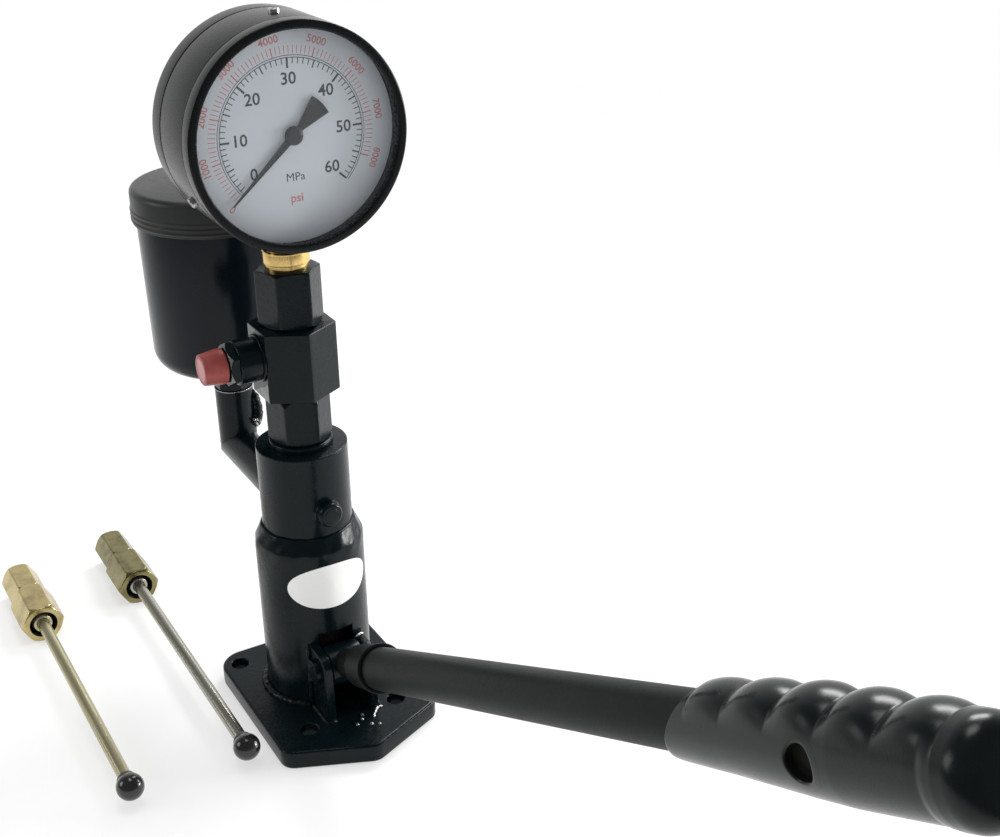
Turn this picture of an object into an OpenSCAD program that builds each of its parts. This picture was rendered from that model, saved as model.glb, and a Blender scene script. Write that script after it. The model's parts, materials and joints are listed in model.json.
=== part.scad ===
// Hand-lever diesel injector tester: flange plate, pump column, lever, gauge, reservoir and two loose pipes.
// Millimetres. Origin on the column axis at the underside of the plate, lever and gauge face toward +X.

/* [Base plate] */
// Reach of the pointed front edge from the column axis
base_front = 70.3; // [64:0.1:80]
// Reach of the rear edge behind the column axis
base_rear = 42; // [40:0.5:56]
// Width across the straight sides
base_w = 85; // [80:1:110]
// Where the straight sides end and the pointed front begins
base_side_front = 52; // [48:0.5:58]
// Corner radius of the front corners and point
base_front_r = 8; // [4:0.5:11]
// Corner radius of the rear corners
base_rear_r = 13; // [6:0.5:18]
// Plate thickness
base_t = 10; // [8:0.5:12]
// Bolt hole diameter
base_hole_d = 9; // [6.5:0.5:10]
// Rear bolt holes, distance behind the column axis
rear_hole_x = 30.4; // [28:0.1:34]
// Rear bolt holes, spacing across
rear_hole_gap = 66.4; // [60:0.1:68]
// Front bolt holes, distance ahead of the column axis
front_hole_x = 40.4; // [38:0.1:46]
// Front bolt holes, spacing across
front_hole_gap = 48; // [46:0.5:56]

/* [Column] */
// Diameter of the lower part
lower_d = 54; // [50:0.5:58]
// Diameter of the upper part
upper_d = 44.6; // [42:0.2:48]
// Height of the column top above the floor
column_top = 147; // [145:0.5:152]
// Height where the curved shoulder begins
shoulder_z = 93; // [88:0.5:96]
// Height of the curved shoulder
shoulder_h = 11.5; // [8:0.5:14]
// Width of the weld round the foot
foot_weld = 3.5; // [2:0.25:4]
// Bore of the tappet guide
tappet_bore_d = 36; // [35:0.5:40]
// Height of the ledge above the return spring
ledge_z = 84; // [82:0.5:88]
// Thickness of that ledge
ledge_t = 8; // [6:0.5:9]
// Bore of the fuel gallery and thread above the ledge
gallery_d = 28; // [26.5:0.25:29]
// Height of the locating screw
screw_z = 117.5; // [115:0.5:118]
// Turn of the locating screw about the column axis
screw_turn = 4; // [0:0.5:15]
// Diameter of the boss round the locating screw
screw_boss_d = 13; // [12:0.5:16]
// How far that boss stands out of the column
screw_boss_out = 3.5; // [2:0.25:5]
// Shank diameter of the locating screw
screw_shank_d = 6; // [5:0.25:8]
// Head thickness of the locating screw
screw_head_t = 2.5; // [2:0.25:4]

/* [Lever mount] */
// Width of the slot for the lever
slot_w = 18.8; // [17:0.2:20]
// Height of the top of the slot
slot_top = 56; // [54:0.5:60]
// Thickness of each cheek
cheek_t = 4.6; // [4:0.2:6]
// Front edge of the cheeks from the column axis
cheek_front = 42; // [41:0.5:45]
// Height of the cheeks
cheek_top = 46; // [44:0.5:50]
// Height where the cheek tops meet the column
cheek_back_top = 58; // [52:0.5:64]
// Pivot distance from the column axis
pivot_x = 32; // [31:0.25:34]
// Height of the pivot above the floor
pivot_z = 36.2; // [35:0.1:38]
// Diameter of the pivot pin
pin_d = 8; // [6:0.25:10]
// Diameter of the pin head
pin_head_d = 12.5; // [11:0.25:15]
// Thickness of the pin head
pin_head_t = 2.5; // [1.5:0.25:4]
// Thickness of the circlip on the pin
clip_t = 1; // [0.8:0.1:1.5]

/* [Lever] */
// Angle of the lever above level at rest
lever_lift = 27.71; // [24:0.01:30]
// Travel of the lever from rest to the end of the press
lever_travel = 30; // [20:0.5:30]
// Diameter of the nose
nose_d = 12; // [10:0.25:13]
// Diameter of the hub
hub_d = 20; // [18:0.5:22]
// Width of the inner arm
arm_w = 12; // [8:0.5:15]
// Diameter of the neck
neck_d = 15; // [12:0.5:17]
// Outer diameter of the tube socket
socket_d = 24; // [23.5:0.25:27]
// Where the socket begins, from the pivot
socket_start = 31; // [28:0.5:32]
// Where the socket ends, from the pivot
socket_end = 53; // [48:0.5:58]
// Floor of the socket, from the pivot
socket_floor = 36; // [35:0.5:40]
// Diameter of the lever tube
tube_d = 20.4; // [18:0.2:21]
// Wall of the lever tube
tube_wall = 2.2; // [1.5:0.1:3]
// End of the lever tube, from the pivot
tube_end = 434; // [425:1:450]

/* [Grip] */
// Where the grip begins, from the pivot
grip_start = 309; // [300:1:315]
// Diameter at the beginning of the grip
grip_start_d = 24; // [23.6:0.2:26]
// Diameter at the thickest place
grip_mid_d = 29.4; // [27:0.2:32]
// Diameter of the end bead
grip_end_d = 28.6; // [26:0.2:30]
// Thickness of the closed end beyond the tube
grip_cap_t = 7; // [5:0.5:9]
// Length of the end bead
grip_bead_l = 12.5; // [8:0.5:16]
// How far the beginning of the grip is cut back at the top
grip_slant = 14; // [4:0.5:18]
// Number of finger ridges
ridge_n = 5; // [4:1:5]
// Pitch of the finger ridges
ridge_pitch = 21.3; // [20:0.1:22]
// First ridge from the beginning of the grip
ridge_first = 25; // [22:0.5:27]
// How far the ridges stand out
ridge_out = 2.3; // [1:0.1:3]
// Diameter of the hole in the side of the grip
grip_hole_d = 11.5; // [8:0.5:13]
// Place of that hole from the beginning of the grip
grip_hole_at = 72; // [60:1:80]

/* [Pump element] */
// Plunger diameter
plunger_d = 9; // [7:0.25:10]
// Diameter of the plunger foot
plunger_foot_d = 15; // [12:0.5:17]
// Thickness of the plunger foot
plunger_foot_t = 3; // [2:0.25:4]
// Height of the plunger top at rest
plunger_top = 102; // [98:0.5:103]
// Thickness of the tappet disc
tappet_t = 6; // [5:0.25:7]
// Diameter of the tappet foot
tappet_foot_d = 10; // [8:0.25:11]
// Height of the tappet foot
tappet_foot_h = 6; // [5:0.25:7]
// Barrel diameter
barrel_d = 23; // [20.5:0.25:24]
// Diameter of the barrel spigot in the ledge
spigot_d = 19.8; // [18:0.2:20]
// Barrel height above the ledge
barrel_h = 34; // [33:0.5:35]
// Height of the barrel flange
barrel_flange_h = 5; // [4:0.5:5]
// Diameter of the inlet port of the barrel
port_d = 3; // [2:0.25:4]
// Wire diameter of the return spring
spring_wire = 2.6; // [2:0.1:3]
// Mean diameter of the return spring
spring_d = 26; // [24:0.25:28]
// Turns of the return spring
spring_turns = 5.5; // [4:0.5:6]

/* [Delivery valve] */
// Thickness of the valve seat
seat_t = 8; // [6:0.5:9]
// Thickness of the sealing washer
washer_t = 1.5; // [1:0.1:2]
// Stem diameter of the valve
valve_stem_d = 6; // [5:0.25:7]
// Head diameter of the valve
valve_head_d = 11; // [10:0.25:12]
// Head thickness of the valve
valve_head_t = 2.5; // [2:0.1:3]
// Lift of the valve
valve_lift = 2.5; // [1:0.25:3]
// Wire diameter of the valve spring
valve_wire = 1; // [0.8:0.05:1.1]
// Turns of the valve spring
valve_turns = 5; // [4:0.5:5.5]

/* [Hexagon stack] */
// Height of the collar under the lower hexagon
collar_h = 3; // [2:0.25:5]
// Diameter of that collar
collar_d = 31; // [30:0.25:34]
// Lower hexagon across flats
holder_af = 27; // [26:0.5:30]
// Lower hexagon height
holder_h = 25.2; // [22:0.2:28]
// Turn of the lower hexagon about the column axis
holder_turn = 13.3; // [0:0.1:60]
// Tee block across flats
tee_af = 36; // [34:0.5:40]
// Tee block height
tee_h = 34.3; // [32:0.1:38]
// Height of the outlet axis above the bottom of the tee
outlet_up = 19.8; // [17:0.1:20]
// Diameter of the screwed stubs in the tee
stub_d = 18; // [16:0.5:19]
// Length of the screwed stubs in the tee
stub_l = 9.5; // [7:0.25:10]
// Fuel passage through the stack
passage_d = 4; // [3:0.25:5]
// Gauge nut across flats
gauge_nut_af = 27; // [26:0.5:30]
// Gauge nut height
gauge_nut_h = 27.5; // [24:0.5:30]
// Turn of the gauge nut about the column axis
gauge_nut_turn = 17.8; // [0:0.1:60]

/* [Outlet] */
// Thread diameter of the outlet
outlet_thread_d = 12; // [11:0.5:13]
// Depth of the outlet thread in the tee
outlet_depth = 6.5; // [5:0.25:7]
// Diameter of the outlet collar
outlet_collar_d = 21; // [19:0.2:22]
// Length of the outlet collar with its washer
outlet_collar_l = 12; // [9:0.25:14]
// Diameter of the outlet washer
outlet_washer_d = 23; // [21:0.2:25]
// Thickness of the outlet washer
outlet_washer_t = 1.2; // [1:0.1:2]
// Outlet hexagon across flats
outlet_af = 19; // [17:0.5:20]
// Outlet hexagon length
outlet_hex_l = 4.5; // [3:0.25:6]
// Length of the outlet stub
outlet_stub_l = 9; // [7:0.5:12]
// Cap diameter at its open end
cap_open_d = 16.8; // [16:0.1:19]
// Cap diameter at its closed end
cap_closed_d = 14.6; // [14.4:0.1:16]
// Thickness of the closed end of the cap
cap_end_t = 2.2; // [1.5:0.1:4]

/* [Gauge] */
// Diameter of the gauge case and bezel
gauge_d = 100; // [94:1:110]
// Width of the bezel rim round the window
bezel_rim = 4; // [3:0.1:8]
// Reach of the case behind the column axis
case_behind = 18; // [16:0.1:20]
// Depth of the case
case_depth = 39.8; // [37:0.1:44]
// Distance of the groove round the case from its back
case_groove_at = 11.5; // [4:0.5:14]
// Wall of the case
case_wall = 2.5; // [2:0.1:2.5]
// Depth of the bezel
bezel_depth = 7.9; // [6.5:0.1:12]
// Thickness of the bezel lip in front of the glass
bezel_lip = 3.6; // [2.5:0.1:4]
// Thickness of the glass
glass_t = 2; // [1.5:0.1:2.5]
// Thickness of the dial
dial_t = 0.8; // [0.6:0.1:1.2]
// Depth of the dial seat below the front of the case
dial_seat = 3.4; // [3:0.1:4.5]
// Space between gauge nut and case, bridged by the brass stem
stem_gap = 14.8; // [13:0.1:19]
// Thread diameter of the stem
stem_thread_d = 20; // [17:0.5:20.5]
// Thread length of the stem
stem_thread_l = 16; // [12:0.5:17]
// Diameter of the brass ring
stem_ring_d = 22; // [20:0.2:24]
// Height of the brass ring
stem_ring_h = 5.5; // [4:0.25:8]
// Height of the foot and groove under the ring
stem_groove_h = 3; // [2:0.25:4]
// Diameter of the brass foot on the gauge nut
stem_foot_d = 20.4; // [19:0.2:22]
// Height of that foot
stem_foot_h = 2.4; // [1.5:0.1:2.6]
// Diameter of the stem where it enters the case
stem_neck_d = 14; // [12:0.25:14]
// Angle of the pointer at zero, anticlockwise from the right
pointer_zero = 222; // [200:1:230]
// Pointer length from its arbor
pointer_l = 40; // [30:0.5:41]
// Length of the pointer tail
pointer_tail = 18; // [10:0.5:20]
// Height of the brass block in the case above the lowest point of the case
block_h = 24; // [20:0.5:28]
// Length of the brass block, front to back
block_l = 14; // [12:0.5:14.5]
// Width of the brass block
block_w = 18; // [14:0.5:22]
// Radius of the Bourdon tube as a part of the gauge radius
bourdon_part = 0.68; // [0.6:0.01:0.75]
// Width of the Bourdon tube, front to back
bourdon_w = 10; // [8:0.5:12]
// Thickness of the Bourdon tube
bourdon_t = 4; // [3:0.25:5]
// Thickness of the movement plate
plate_t = 3; // [2:0.25:4]
// Width of the movement plate
plate_w = 20; // [16:0.5:24]
// Rise of the movement plate above the arbor
plate_rise = 12; // [8:0.5:16]
// Length of the toothed sector
sector_l = 18; // [12:0.5:20]
// Arbor diameter
arbor_d = 2.4; // [2:0.1:3]
// Case screws, distance ahead of the column axis
case_screw_x = 9; // [5:0.5:11]
// Head diameter of the case screws
case_screw_d = 5; // [4:0.25:6]

/* [Reservoir] */
// Distance of the reservoir axis behind the column axis
reservoir_x = 93.1; // [88:0.1:105]
// Height of the elbow axis
elbow_z = 107; // [104:0.5:110]
// Outer diameter of the elbow
elbow_d = 20.4; // [19:0.2:22]
// Bore of the elbow
elbow_bore_d = 12; // [10:0.25:12.5]
// Height of the elbow rim
elbow_top = 141.5; // [138:0.5:148]
// Stud diameter
stud_d = 14; // [13.5:0.1:14.5]
// Depth of the stud in the elbow
stud_depth = 15; // [10:0.5:20]
// Nut across flats
reservoir_nut_af = 19; // [18.5:0.1:22]
// Height of the nut under the cup
reservoir_nut_h = 14.5; // [12:0.25:16]
// Height of the nut in the cup
inner_nut_h = 6; // [4:0.25:8]
// Thickness of the seals
seal_t = 1.5; // [1:0.1:2.5]
// Seal diameter
seal_d = 28; // [26:0.5:34]
// Cup diameter at the bottom
cup_bottom_d = 77.8; // [72:0.2:79]
// Cup diameter at the rim
cup_rim_d = 80; // [78:0.2:82]
// Cup height
cup_h = 94.5; // [88:0.5:110]
// Cup wall
cup_wall = 2.2; // [1.6:0.1:3]
// Corner radius at the bottom of the cup
cup_corner_r = 11; // [6:0.5:14]
// Lid thickness
lid_t = 3; // [2:0.1:5]
// Lid wall
lid_wall = 1.4; // [1.2:0.1:2.5]
// Depth of the lid skirt
lid_skirt = 15; // [12:0.5:20]
// Strainer height
strainer_h = 20; // [16:0.5:30]

/* [Pipes] */
// Pipe diameter
pipe_d = 6.5; // [6:0.1:7]
// Pipe bore
pipe_bore_d = 2.5; // [1.5:0.1:3]
// Cone head diameter at the rear end
cone_d = 10.8; // [9:0.1:11]
// Front nuts across flats
front_nut_af = 21; // [20.8:0.1:23]
// Rear nuts across flats
rear_nut_af = 18; // [16.5:0.1:18]
// Length of the front nuts
front_nut_l = 29; // [26:0.5:36]
// Length of the rear nuts
rear_nut_l = 28; // [25:0.5:36]
// Thread opening of the front nuts
front_mouth_d = 15.4; // [13:0.1:17]
// Diameter of the sleeve in the front nuts
sleeve_d = 11.6; // [9:0.1:12.5]
// Length of that sleeve
sleeve_l = 9; // [5:0.5:10]
// Thread opening of the rear nuts
rear_mouth_d = 12.4; // [11.5:0.1:13]
// Depth of the thread openings
mouth_depth = 12; // [8:0.5:14]
// Diameter of the ball caps
ball_d = 13.3; // [12:0.1:15]
// First pipe, distance to the outlet side of the column axis
pipe_1_y = 114; // [105:0.5:130]
// First pipe, place of its ball cap
pipe_1_ball_x = 37; // [20:1:60]
// First pipe, distance from its ball cap back to the front nut
pipe_1_run = 159.5; // [120:0.5:180]
// Second pipe, distance to the outlet side of the column axis
pipe_2_y = 56; // [55:0.5:66]
// Second pipe, place of its ball cap
pipe_2_ball_x = 38; // [20:1:60]
// Second pipe, distance from its ball cap back to the front nut
pipe_2_run = 170.5; // [120:0.5:180]

/* [Fits] */
// Radial clearance of screwed and pressed pieces
fit = 0.05; // [0.03:0.01:0.08]
// Radial clearance of sliding pieces
slide_fit = 0.3; // [0.2:0.05:0.4]
// Clearance between tappet and nose at rest
nose_gap = 0.2; // [0.1:0.05:0.3]

/* [Hidden] */
$fn = 64;

black_paint = [0.10, 0.10, 0.11];
dark_steel = [0.22, 0.22, 0.24];
bright_steel = [0.70, 0.71, 0.73];
brass = [0.78, 0.62, 0.30];
olive_zinc = [0.62, 0.58, 0.36];
red_plastic = [0.72, 0.14, 0.12];
black_rubber = [0.06, 0.06, 0.06];
dial_white = [0.90, 0.92, 0.94];
over = 1;

arm_drop = lever_travel / 2;
arm_l = pivot_x / cos(arm_drop);
nose_z = pivot_z - pivot_x * tan(arm_drop);
tappet_z = nose_z + nose_d / 2 + nose_gap;
tappet_top = tappet_z + tappet_foot_h + tappet_t;
hub_w = slot_w - 2 * slide_fit;
cheek_out = slot_w / 2 + cheek_t;

screw_tip = barrel_d / 2 - 1.5;

gallery_z = ledge_z + ledge_t;
barrel_top = gallery_z + barrel_h;
seat_top = barrel_top + seat_t;
washer_top = seat_top + washer_t;
valve_chamber_d = valve_head_d + 4 * slide_fit;
valve_chamber_top = column_top + collar_h;
valve_pin_d = valve_stem_d - 2;

hex_z = column_top + collar_h;
tee_z = hex_z + holder_h;
tee_top = tee_z + tee_h;
outlet_z = tee_z + outlet_up;
gauge_nut_top = tee_top + gauge_nut_h;
outlet_hex_at = tee_af / 2 + outlet_collar_l;
outlet_face = outlet_hex_at + outlet_hex_l;
outlet_end = outlet_face + outlet_stub_l;

gauge_r = gauge_d / 2;
gauge_z = gauge_nut_top + stem_gap + gauge_r;
case_front = case_depth - case_behind;
case_in_r = gauge_r - case_wall;
seat_r = gauge_r - 0.7 * case_wall;
window_r = gauge_r - bezel_rim;
dial_x = case_front - dial_seat;
dial_front = dial_x + dial_t;
glass_front = case_front + bezel_depth - bezel_lip;
pointer_x = dial_front + 1.2;
block_top = gauge_z - gauge_r + block_h;

ring_z = gauge_nut_top + stem_groove_h;

socket_bore_d = tube_d + 2 * fit;
grip_end = tube_end + grip_cap_t;
grip_l = grip_end - grip_start;

cup_z = elbow_top + reservoir_nut_h + seal_t;
cup_top = cup_z + cup_h;
cup_floor = cup_z + cup_wall;
nut_floor = cup_floor + seal_t;
stud_bottom = elbow_top - stud_depth;
stud_top = nut_floor + inner_nut_h + 2;
strainer_in_d = reservoir_nut_af / cos(30) + 2 * slide_fit;
lid_in_d = cup_rim_d + 2 * slide_fit;

pipe_hole_d = pipe_d + 2 * slide_fit;
nut_gap = 0.6;
rear_nut_at = front_nut_l + nut_gap;

// Turned corners on a hexagon bar, axis +Z
module hex_bar(af, h, bottom = true, top = true) {
    flat_r = af / 2;
    corner_r = flat_r / cos(30) + over;
    drop = (corner_r - flat_r * 1.02) * tan(30);
    intersection() {
        cylinder(d = af / cos(30), h = h, $fn = 6);
        rotate_extrude()
            polygon([
                [0, 0],
                [bottom ? flat_r * 1.02 : corner_r, 0],
                [corner_r, bottom ? drop : 0],
                [corner_r, top ? h - drop : h],
                [top ? flat_r * 1.02 : corner_r, h],
                [0, h]
            ]);
    }
}

// Ring or tube, axis +Z
module ring(outer_d, inner_d, h) {
    difference() {
        cylinder(d = outer_d, h = h);
        translate([0, 0, -over])
            cylinder(d = inner_d, h = h + 2 * over);
    }
}

// Round bar between two heights on the column axis
module bar(d, z_low, z_high) {
    translate([0, 0, z_low])
        cylinder(d = d, h = z_high - z_low);
}

// Children's +Z runs out of the column along the locating screw
module to_screw() {
    translate([0, 0, screw_z])
        rotate([0, 90, screw_turn])
            children();
}

// Children's +Z points to the outlet side
module to_outlet() {
    translate([0, 0, outlet_z])
        rotate([90, 0, 0])
            children();
}

// Children's +X and +Y are right and up as seen from the front of the gauge, +Z comes out of the dial
module gauge_frame(x = 0) {
    translate([x, 0, gauge_z])
        rotate([90, 0, 90])
            children();
}

// Children's +X runs along the raised lever from the pivot
module lever_frame() {
    translate([pivot_x, 0, pivot_z])
        rotate([0, -lever_lift, 0])
            children();
}

// Children's +Z runs along the lever from the pivot, starting at x
module along_lever(x = 0) {
    lever_frame()
        translate([x, 0, 0])
            rotate([0, 90, 0])
                children();
}

// Helix tube with closer end turns, bottom to top height
module coil(mean_d, wire, turns, z_low, z_high) {
    sides = 6;
    steps = round(turns * 8);
    span = z_high - z_low - wire - 0.1;
    close_rise = wire + 0.6;
    open_rise = (span - 2 * close_rise) / (turns - 2);
    echo(coil_gap = open_rise - wire, end_gap = close_rise - wire);
    rings = [for (i = [0:steps])
        let (
            turn = turns * i / steps,
            low = min(turn, 1),
            high = max(turn - (turns - 1), 0),
            rise = close_rise * (low + high) + open_rise * (turn - low - high)
        )
        [360 * turn, z_low + wire / 2 + 0.05 + rise]];
    points = [for (r = rings)
        for (s = [0:sides - 1])
            let (across = mean_d / 2 + wire / 2 * cos(360 * s / sides))
            [across * cos(r[0]), across * sin(r[0]), r[1] + wire / 2 * sin(360 * s / sides)]];
    walls = [for (i = [0:steps - 1])
        for (s = [0:sides - 1])
            let (next = (s + 1) % sides)
            each [
                [i * sides + s, (i + 1) * sides + s, (i + 1) * sides + next],
                [i * sides + s, (i + 1) * sides + next, i * sides + next]
            ]];
    start_cap = [[for (s = [0:sides - 1]) s]];
    end_cap = [[for (s = [sides - 1:-1:0]) steps * sides + s]];
    polyhedron(points = points, faces = concat(walls, start_cap, end_cap), convexity = 10);
}

function unit(v) = v / norm(v);
// Half of the angle between the two sides that meet at corner b
function half_angle(a, b, c) = acos(unit(a - b) * unit(c - b)) / 2;

// Flat plate with every corner of its outline rounded, each by its own radius
module rounded_plate(corners, radii, t) {
    n = len(corners);
    touches = [for (i = [0:n - 1])
        let (
            a = corners[(i + n - 1) % n],
            b = corners[i],
            c = corners[(i + 1) % n],
            back = radii[i] / tan(half_angle(a, b, c))
        )
        each [b + unit(a - b) * back, b + unit(c - b) * back]];
    linear_extrude(t)
        polygon(touches);
    for (i = [0:n - 1]) {
        a = corners[(i + n - 1) % n];
        b = corners[i];
        c = corners[(i + 1) % n];
        translate(b + unit(unit(a - b) + unit(c - b)) * radii[i] / sin(half_angle(a, b, c)))
            cylinder(r = radii[i], h = t);
    }
}

module base_plate() {
    half = base_w / 2;
    outline = [[-base_rear, -half], [base_side_front, -half], [base_front, 0], [base_side_front, half],
        [-base_rear, half]];
    radii = [base_rear_r, base_front_r, base_front_r, base_front_r, base_rear_r];
    color(black_paint)
        difference() {
            rounded_plate(outline, radii, base_t);
            for (side = [-1, 1]) {
                translate([-rear_hole_x, side * rear_hole_gap / 2, -over])
                    cylinder(d = base_hole_d, h = base_t + 2 * over);
                translate([front_hole_x, side * front_hole_gap / 2, -over])
                    cylinder(d = base_hole_d, h = base_t + 2 * over);
            }
        }
}

// Outside of the column without boss and cheeks
module column_blank() {
    lower_r = lower_d / 2;
    upper_r = upper_d / 2;
    steps = 8;
    shoulder = [for (i = [0:steps])
        let (t = i / steps)
        [upper_r + (lower_r - upper_r) * sqrt(1 - t * t), shoulder_z + shoulder_h * t]];
    rotate_extrude()
        polygon(concat(
            [[0, base_t], [lower_r + foot_weld, base_t], [lower_r, base_t + foot_weld]],
            shoulder,
            [[upper_r, column_top], [0, column_top]]
        ));
}

// Both cheeks as one block across, before the slot is cut
module cheek_block() {
    corner = 6;
    rotate([90, 0, 0])
        linear_extrude(2 * cheek_out, center = true)
            polygon([
                [0, base_t],
                [cheek_front, base_t],
                [cheek_front, cheek_top - corner],
                [cheek_front - corner, cheek_top],
                [lower_d / 2 + 4, cheek_top],
                [lower_d / 2 - 3, cheek_back_top],
                [0, cheek_back_top]
            ]);
}

module column() {
    color(black_paint)
        difference() {
            union() {
                column_blank();
                cheek_block();
                to_screw()
                    cylinder(d = screw_boss_d, h = upper_d / 2 + screw_boss_out);
            }
            bar(tappet_bore_d, base_t - over, ledge_z);
            bar(spigot_d + 2 * fit, ledge_z - over, gallery_z + over);
            bar(gallery_d, gallery_z, column_top + over);
            translate([0, -slot_w / 2, base_t - over])
                cube([cheek_front + over, slot_w, slot_top - base_t + over]);
            translate([pivot_x, 0, pivot_z])
                rotate([90, 0, 0])
                    cylinder(d = pin_d + 2 * fit, h = 2 * cheek_out + 2 * over, center = true);
            translate([0, 0, elbow_z])
                rotate([0, -90, 0])
                    cylinder(d = elbow_bore_d, h = lower_d);
            to_screw()
                cylinder(d = screw_shank_d + 2 * fit, h = lower_d);
        }
}

module locating_screw() {
    head_x = upper_d / 2 + screw_boss_out;
    color(black_paint)
        to_screw()
            difference() {
                union() {
                    bar(screw_shank_d, screw_tip, head_x + over);
                    bar(screw_boss_d - 3, head_x, head_x + screw_head_t);
                }
                translate([-screw_boss_d, -0.6, head_x + screw_head_t - 1.2])
                    cube([2 * screw_boss_d, 1.2, 3]);
            }
}

module barrel() {
    color(bright_steel)
        difference() {
            union() {
                bar(spigot_d, ledge_z, gallery_z + over);
                bar(barrel_d, gallery_z, barrel_top);
                bar(gallery_d - 2 * slide_fit, barrel_top - barrel_flange_h, barrel_top);
            }
            bar(plunger_d + 2 * fit, ledge_z - over, barrel_top + over);
            translate([0, 0, plunger_top + port_d])
                rotate([0, -90, 0])
                    cylinder(d = port_d, h = barrel_d);
            to_screw()
                bar(screw_shank_d + 2 * fit, screw_tip - fit, barrel_d);
        }
}

module plunger() {
    color(bright_steel) {
        bar(plunger_d, tappet_top, plunger_top);
        bar(plunger_foot_d, tappet_top, tappet_top + plunger_foot_t);
    }
}

module tappet() {
    color(bright_steel) {
        bar(tappet_bore_d - 2 * slide_fit, tappet_z + tappet_foot_h, tappet_top);
        bar(tappet_foot_d, tappet_z, tappet_z + tappet_foot_h + over);
    }
}

module return_spring() {
    color(dark_steel)
        coil(spring_d, spring_wire, spring_turns, tappet_top, ledge_z);
}

module valve_seat() {
    color(bright_steel)
        translate([0, 0, barrel_top])
            ring(gallery_d - 2 * slide_fit, valve_stem_d + 2 * fit, seat_t);
}

module delivery_valve() {
    color(bright_steel) {
        bar(valve_stem_d, barrel_top + over, seat_top);
        bar(valve_head_d, seat_top, seat_top + valve_head_t);
        bar(valve_pin_d, seat_top, valve_chamber_top - valve_lift - over);
    }
}

module valve_spring() {
    color(dark_steel)
        coil(valve_pin_d + 2 * slide_fit + valve_wire * 1.6, valve_wire, valve_turns, seat_top + valve_head_t,
            valve_chamber_top);
}

module valve_washer() {
    color(brass)
        translate([0, 0, seat_top])
            ring(gallery_d - 2 * slide_fit, valve_chamber_d, washer_t);
}

module valve_holder() {
    color(black_paint)
        difference() {
            union() {
                bar(gallery_d - 2 * fit, washer_top, column_top + over);
                bar(collar_d, column_top, hex_z);
                translate([0, 0, hex_z])
                    rotate([0, 0, holder_turn])
                        hex_bar(holder_af, holder_h);
                bar(stub_d, tee_z - over, tee_z + stub_l);
            }
            bar(valve_chamber_d, washer_top - over, valve_chamber_top);
            bar(passage_d, washer_top, tee_z + stub_l + over);
        }
}

module tee_block() {
    color(black_paint)
        difference() {
            translate([0, 0, tee_z])
                hex_bar(tee_af, tee_h, bottom = false, top = false);
            bar(stub_d + 2 * fit, tee_z - over, tee_z + stub_l + fit);
            bar(stub_d + 2 * fit, tee_top - stub_l - fit, tee_top + over);
            bar(passage_d, tee_z, tee_top);
            to_outlet() {
                bar(outlet_thread_d + 2 * fit, tee_af / 2 - outlet_depth - fit, tee_af / 2 + over);
                bar(passage_d, 0, tee_af / 2);
            }
        }
}

module outlet_washer() {
    color(black_paint)
        to_outlet()
            translate([0, 0, tee_af / 2])
                ring(outlet_washer_d, outlet_thread_d + 2 * fit, outlet_washer_t);
}

module outlet_connector() {
    color(black_paint)
        to_outlet()
            difference() {
                union() {
                    bar(outlet_thread_d, tee_af / 2 - outlet_depth, outlet_end);
                    bar(outlet_collar_d, tee_af / 2 + outlet_washer_t, outlet_hex_at);
                    translate([0, 0, outlet_hex_at])
                        rotate([0, 0, 30])
                            hex_bar(outlet_af, outlet_hex_l, bottom = false);
                }
                bar(passage_d, 0, outlet_end + over);
            }
}

module outlet_cap() {
    open_r = cap_open_d / 2;
    closed_r = cap_closed_d / 2;
    hollow_r = outlet_thread_d / 2 + slide_fit;
    low = outlet_face + slide_fit;
    high = outlet_end + slide_fit + cap_end_t;
    edge = 1.5;
    color(red_plastic)
        to_outlet()
            rotate_extrude()
                polygon([
                    [hollow_r, low],
                    [open_r, low],
                    [open_r, low + 3],
                    [closed_r, high - edge],
                    [closed_r - edge, high],
                    [0, high],
                    [0, high - cap_end_t],
                    [hollow_r, high - cap_end_t]
                ]);
}

module gauge_nut() {
    color(black_paint)
        difference() {
            union() {
                translate([0, 0, tee_top])
                    rotate([0, 0, gauge_nut_turn])
                        hex_bar(gauge_nut_af, gauge_nut_h);
                bar(stub_d, tee_top - stub_l, tee_top + over);
            }
            bar(passage_d, tee_top - stub_l - over, gauge_nut_top);
            bar(stem_thread_d + 2 * fit, gauge_nut_top - stem_thread_l - fit, gauge_nut_top + over);
        }
}

// Brass block inside the case that carries the Bourdon tube
module stem_block() {
    block_z = gauge_z - case_in_r + 0.6;
    translate([-block_l / 2, -block_w / 2, block_z])
        cube([block_l, block_w, block_top - block_z]);
}

module gauge_stem() {
    color(brass)
        difference() {
            union() {
                bar(stem_thread_d, gauge_nut_top - stem_thread_l, gauge_nut_top);
                bar(stem_foot_d, gauge_nut_top, gauge_nut_top + stem_foot_h);
                bar(stem_thread_d - 2.8, gauge_nut_top - over, ring_z + over);
                bar(stem_ring_d, ring_z, ring_z + stem_ring_h);
                bar(stem_neck_d, ring_z, block_top - over);
                stem_block();
            }
            bar(passage_d, gauge_nut_top - stem_thread_l - over, block_top - 8);
        }
}

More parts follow.
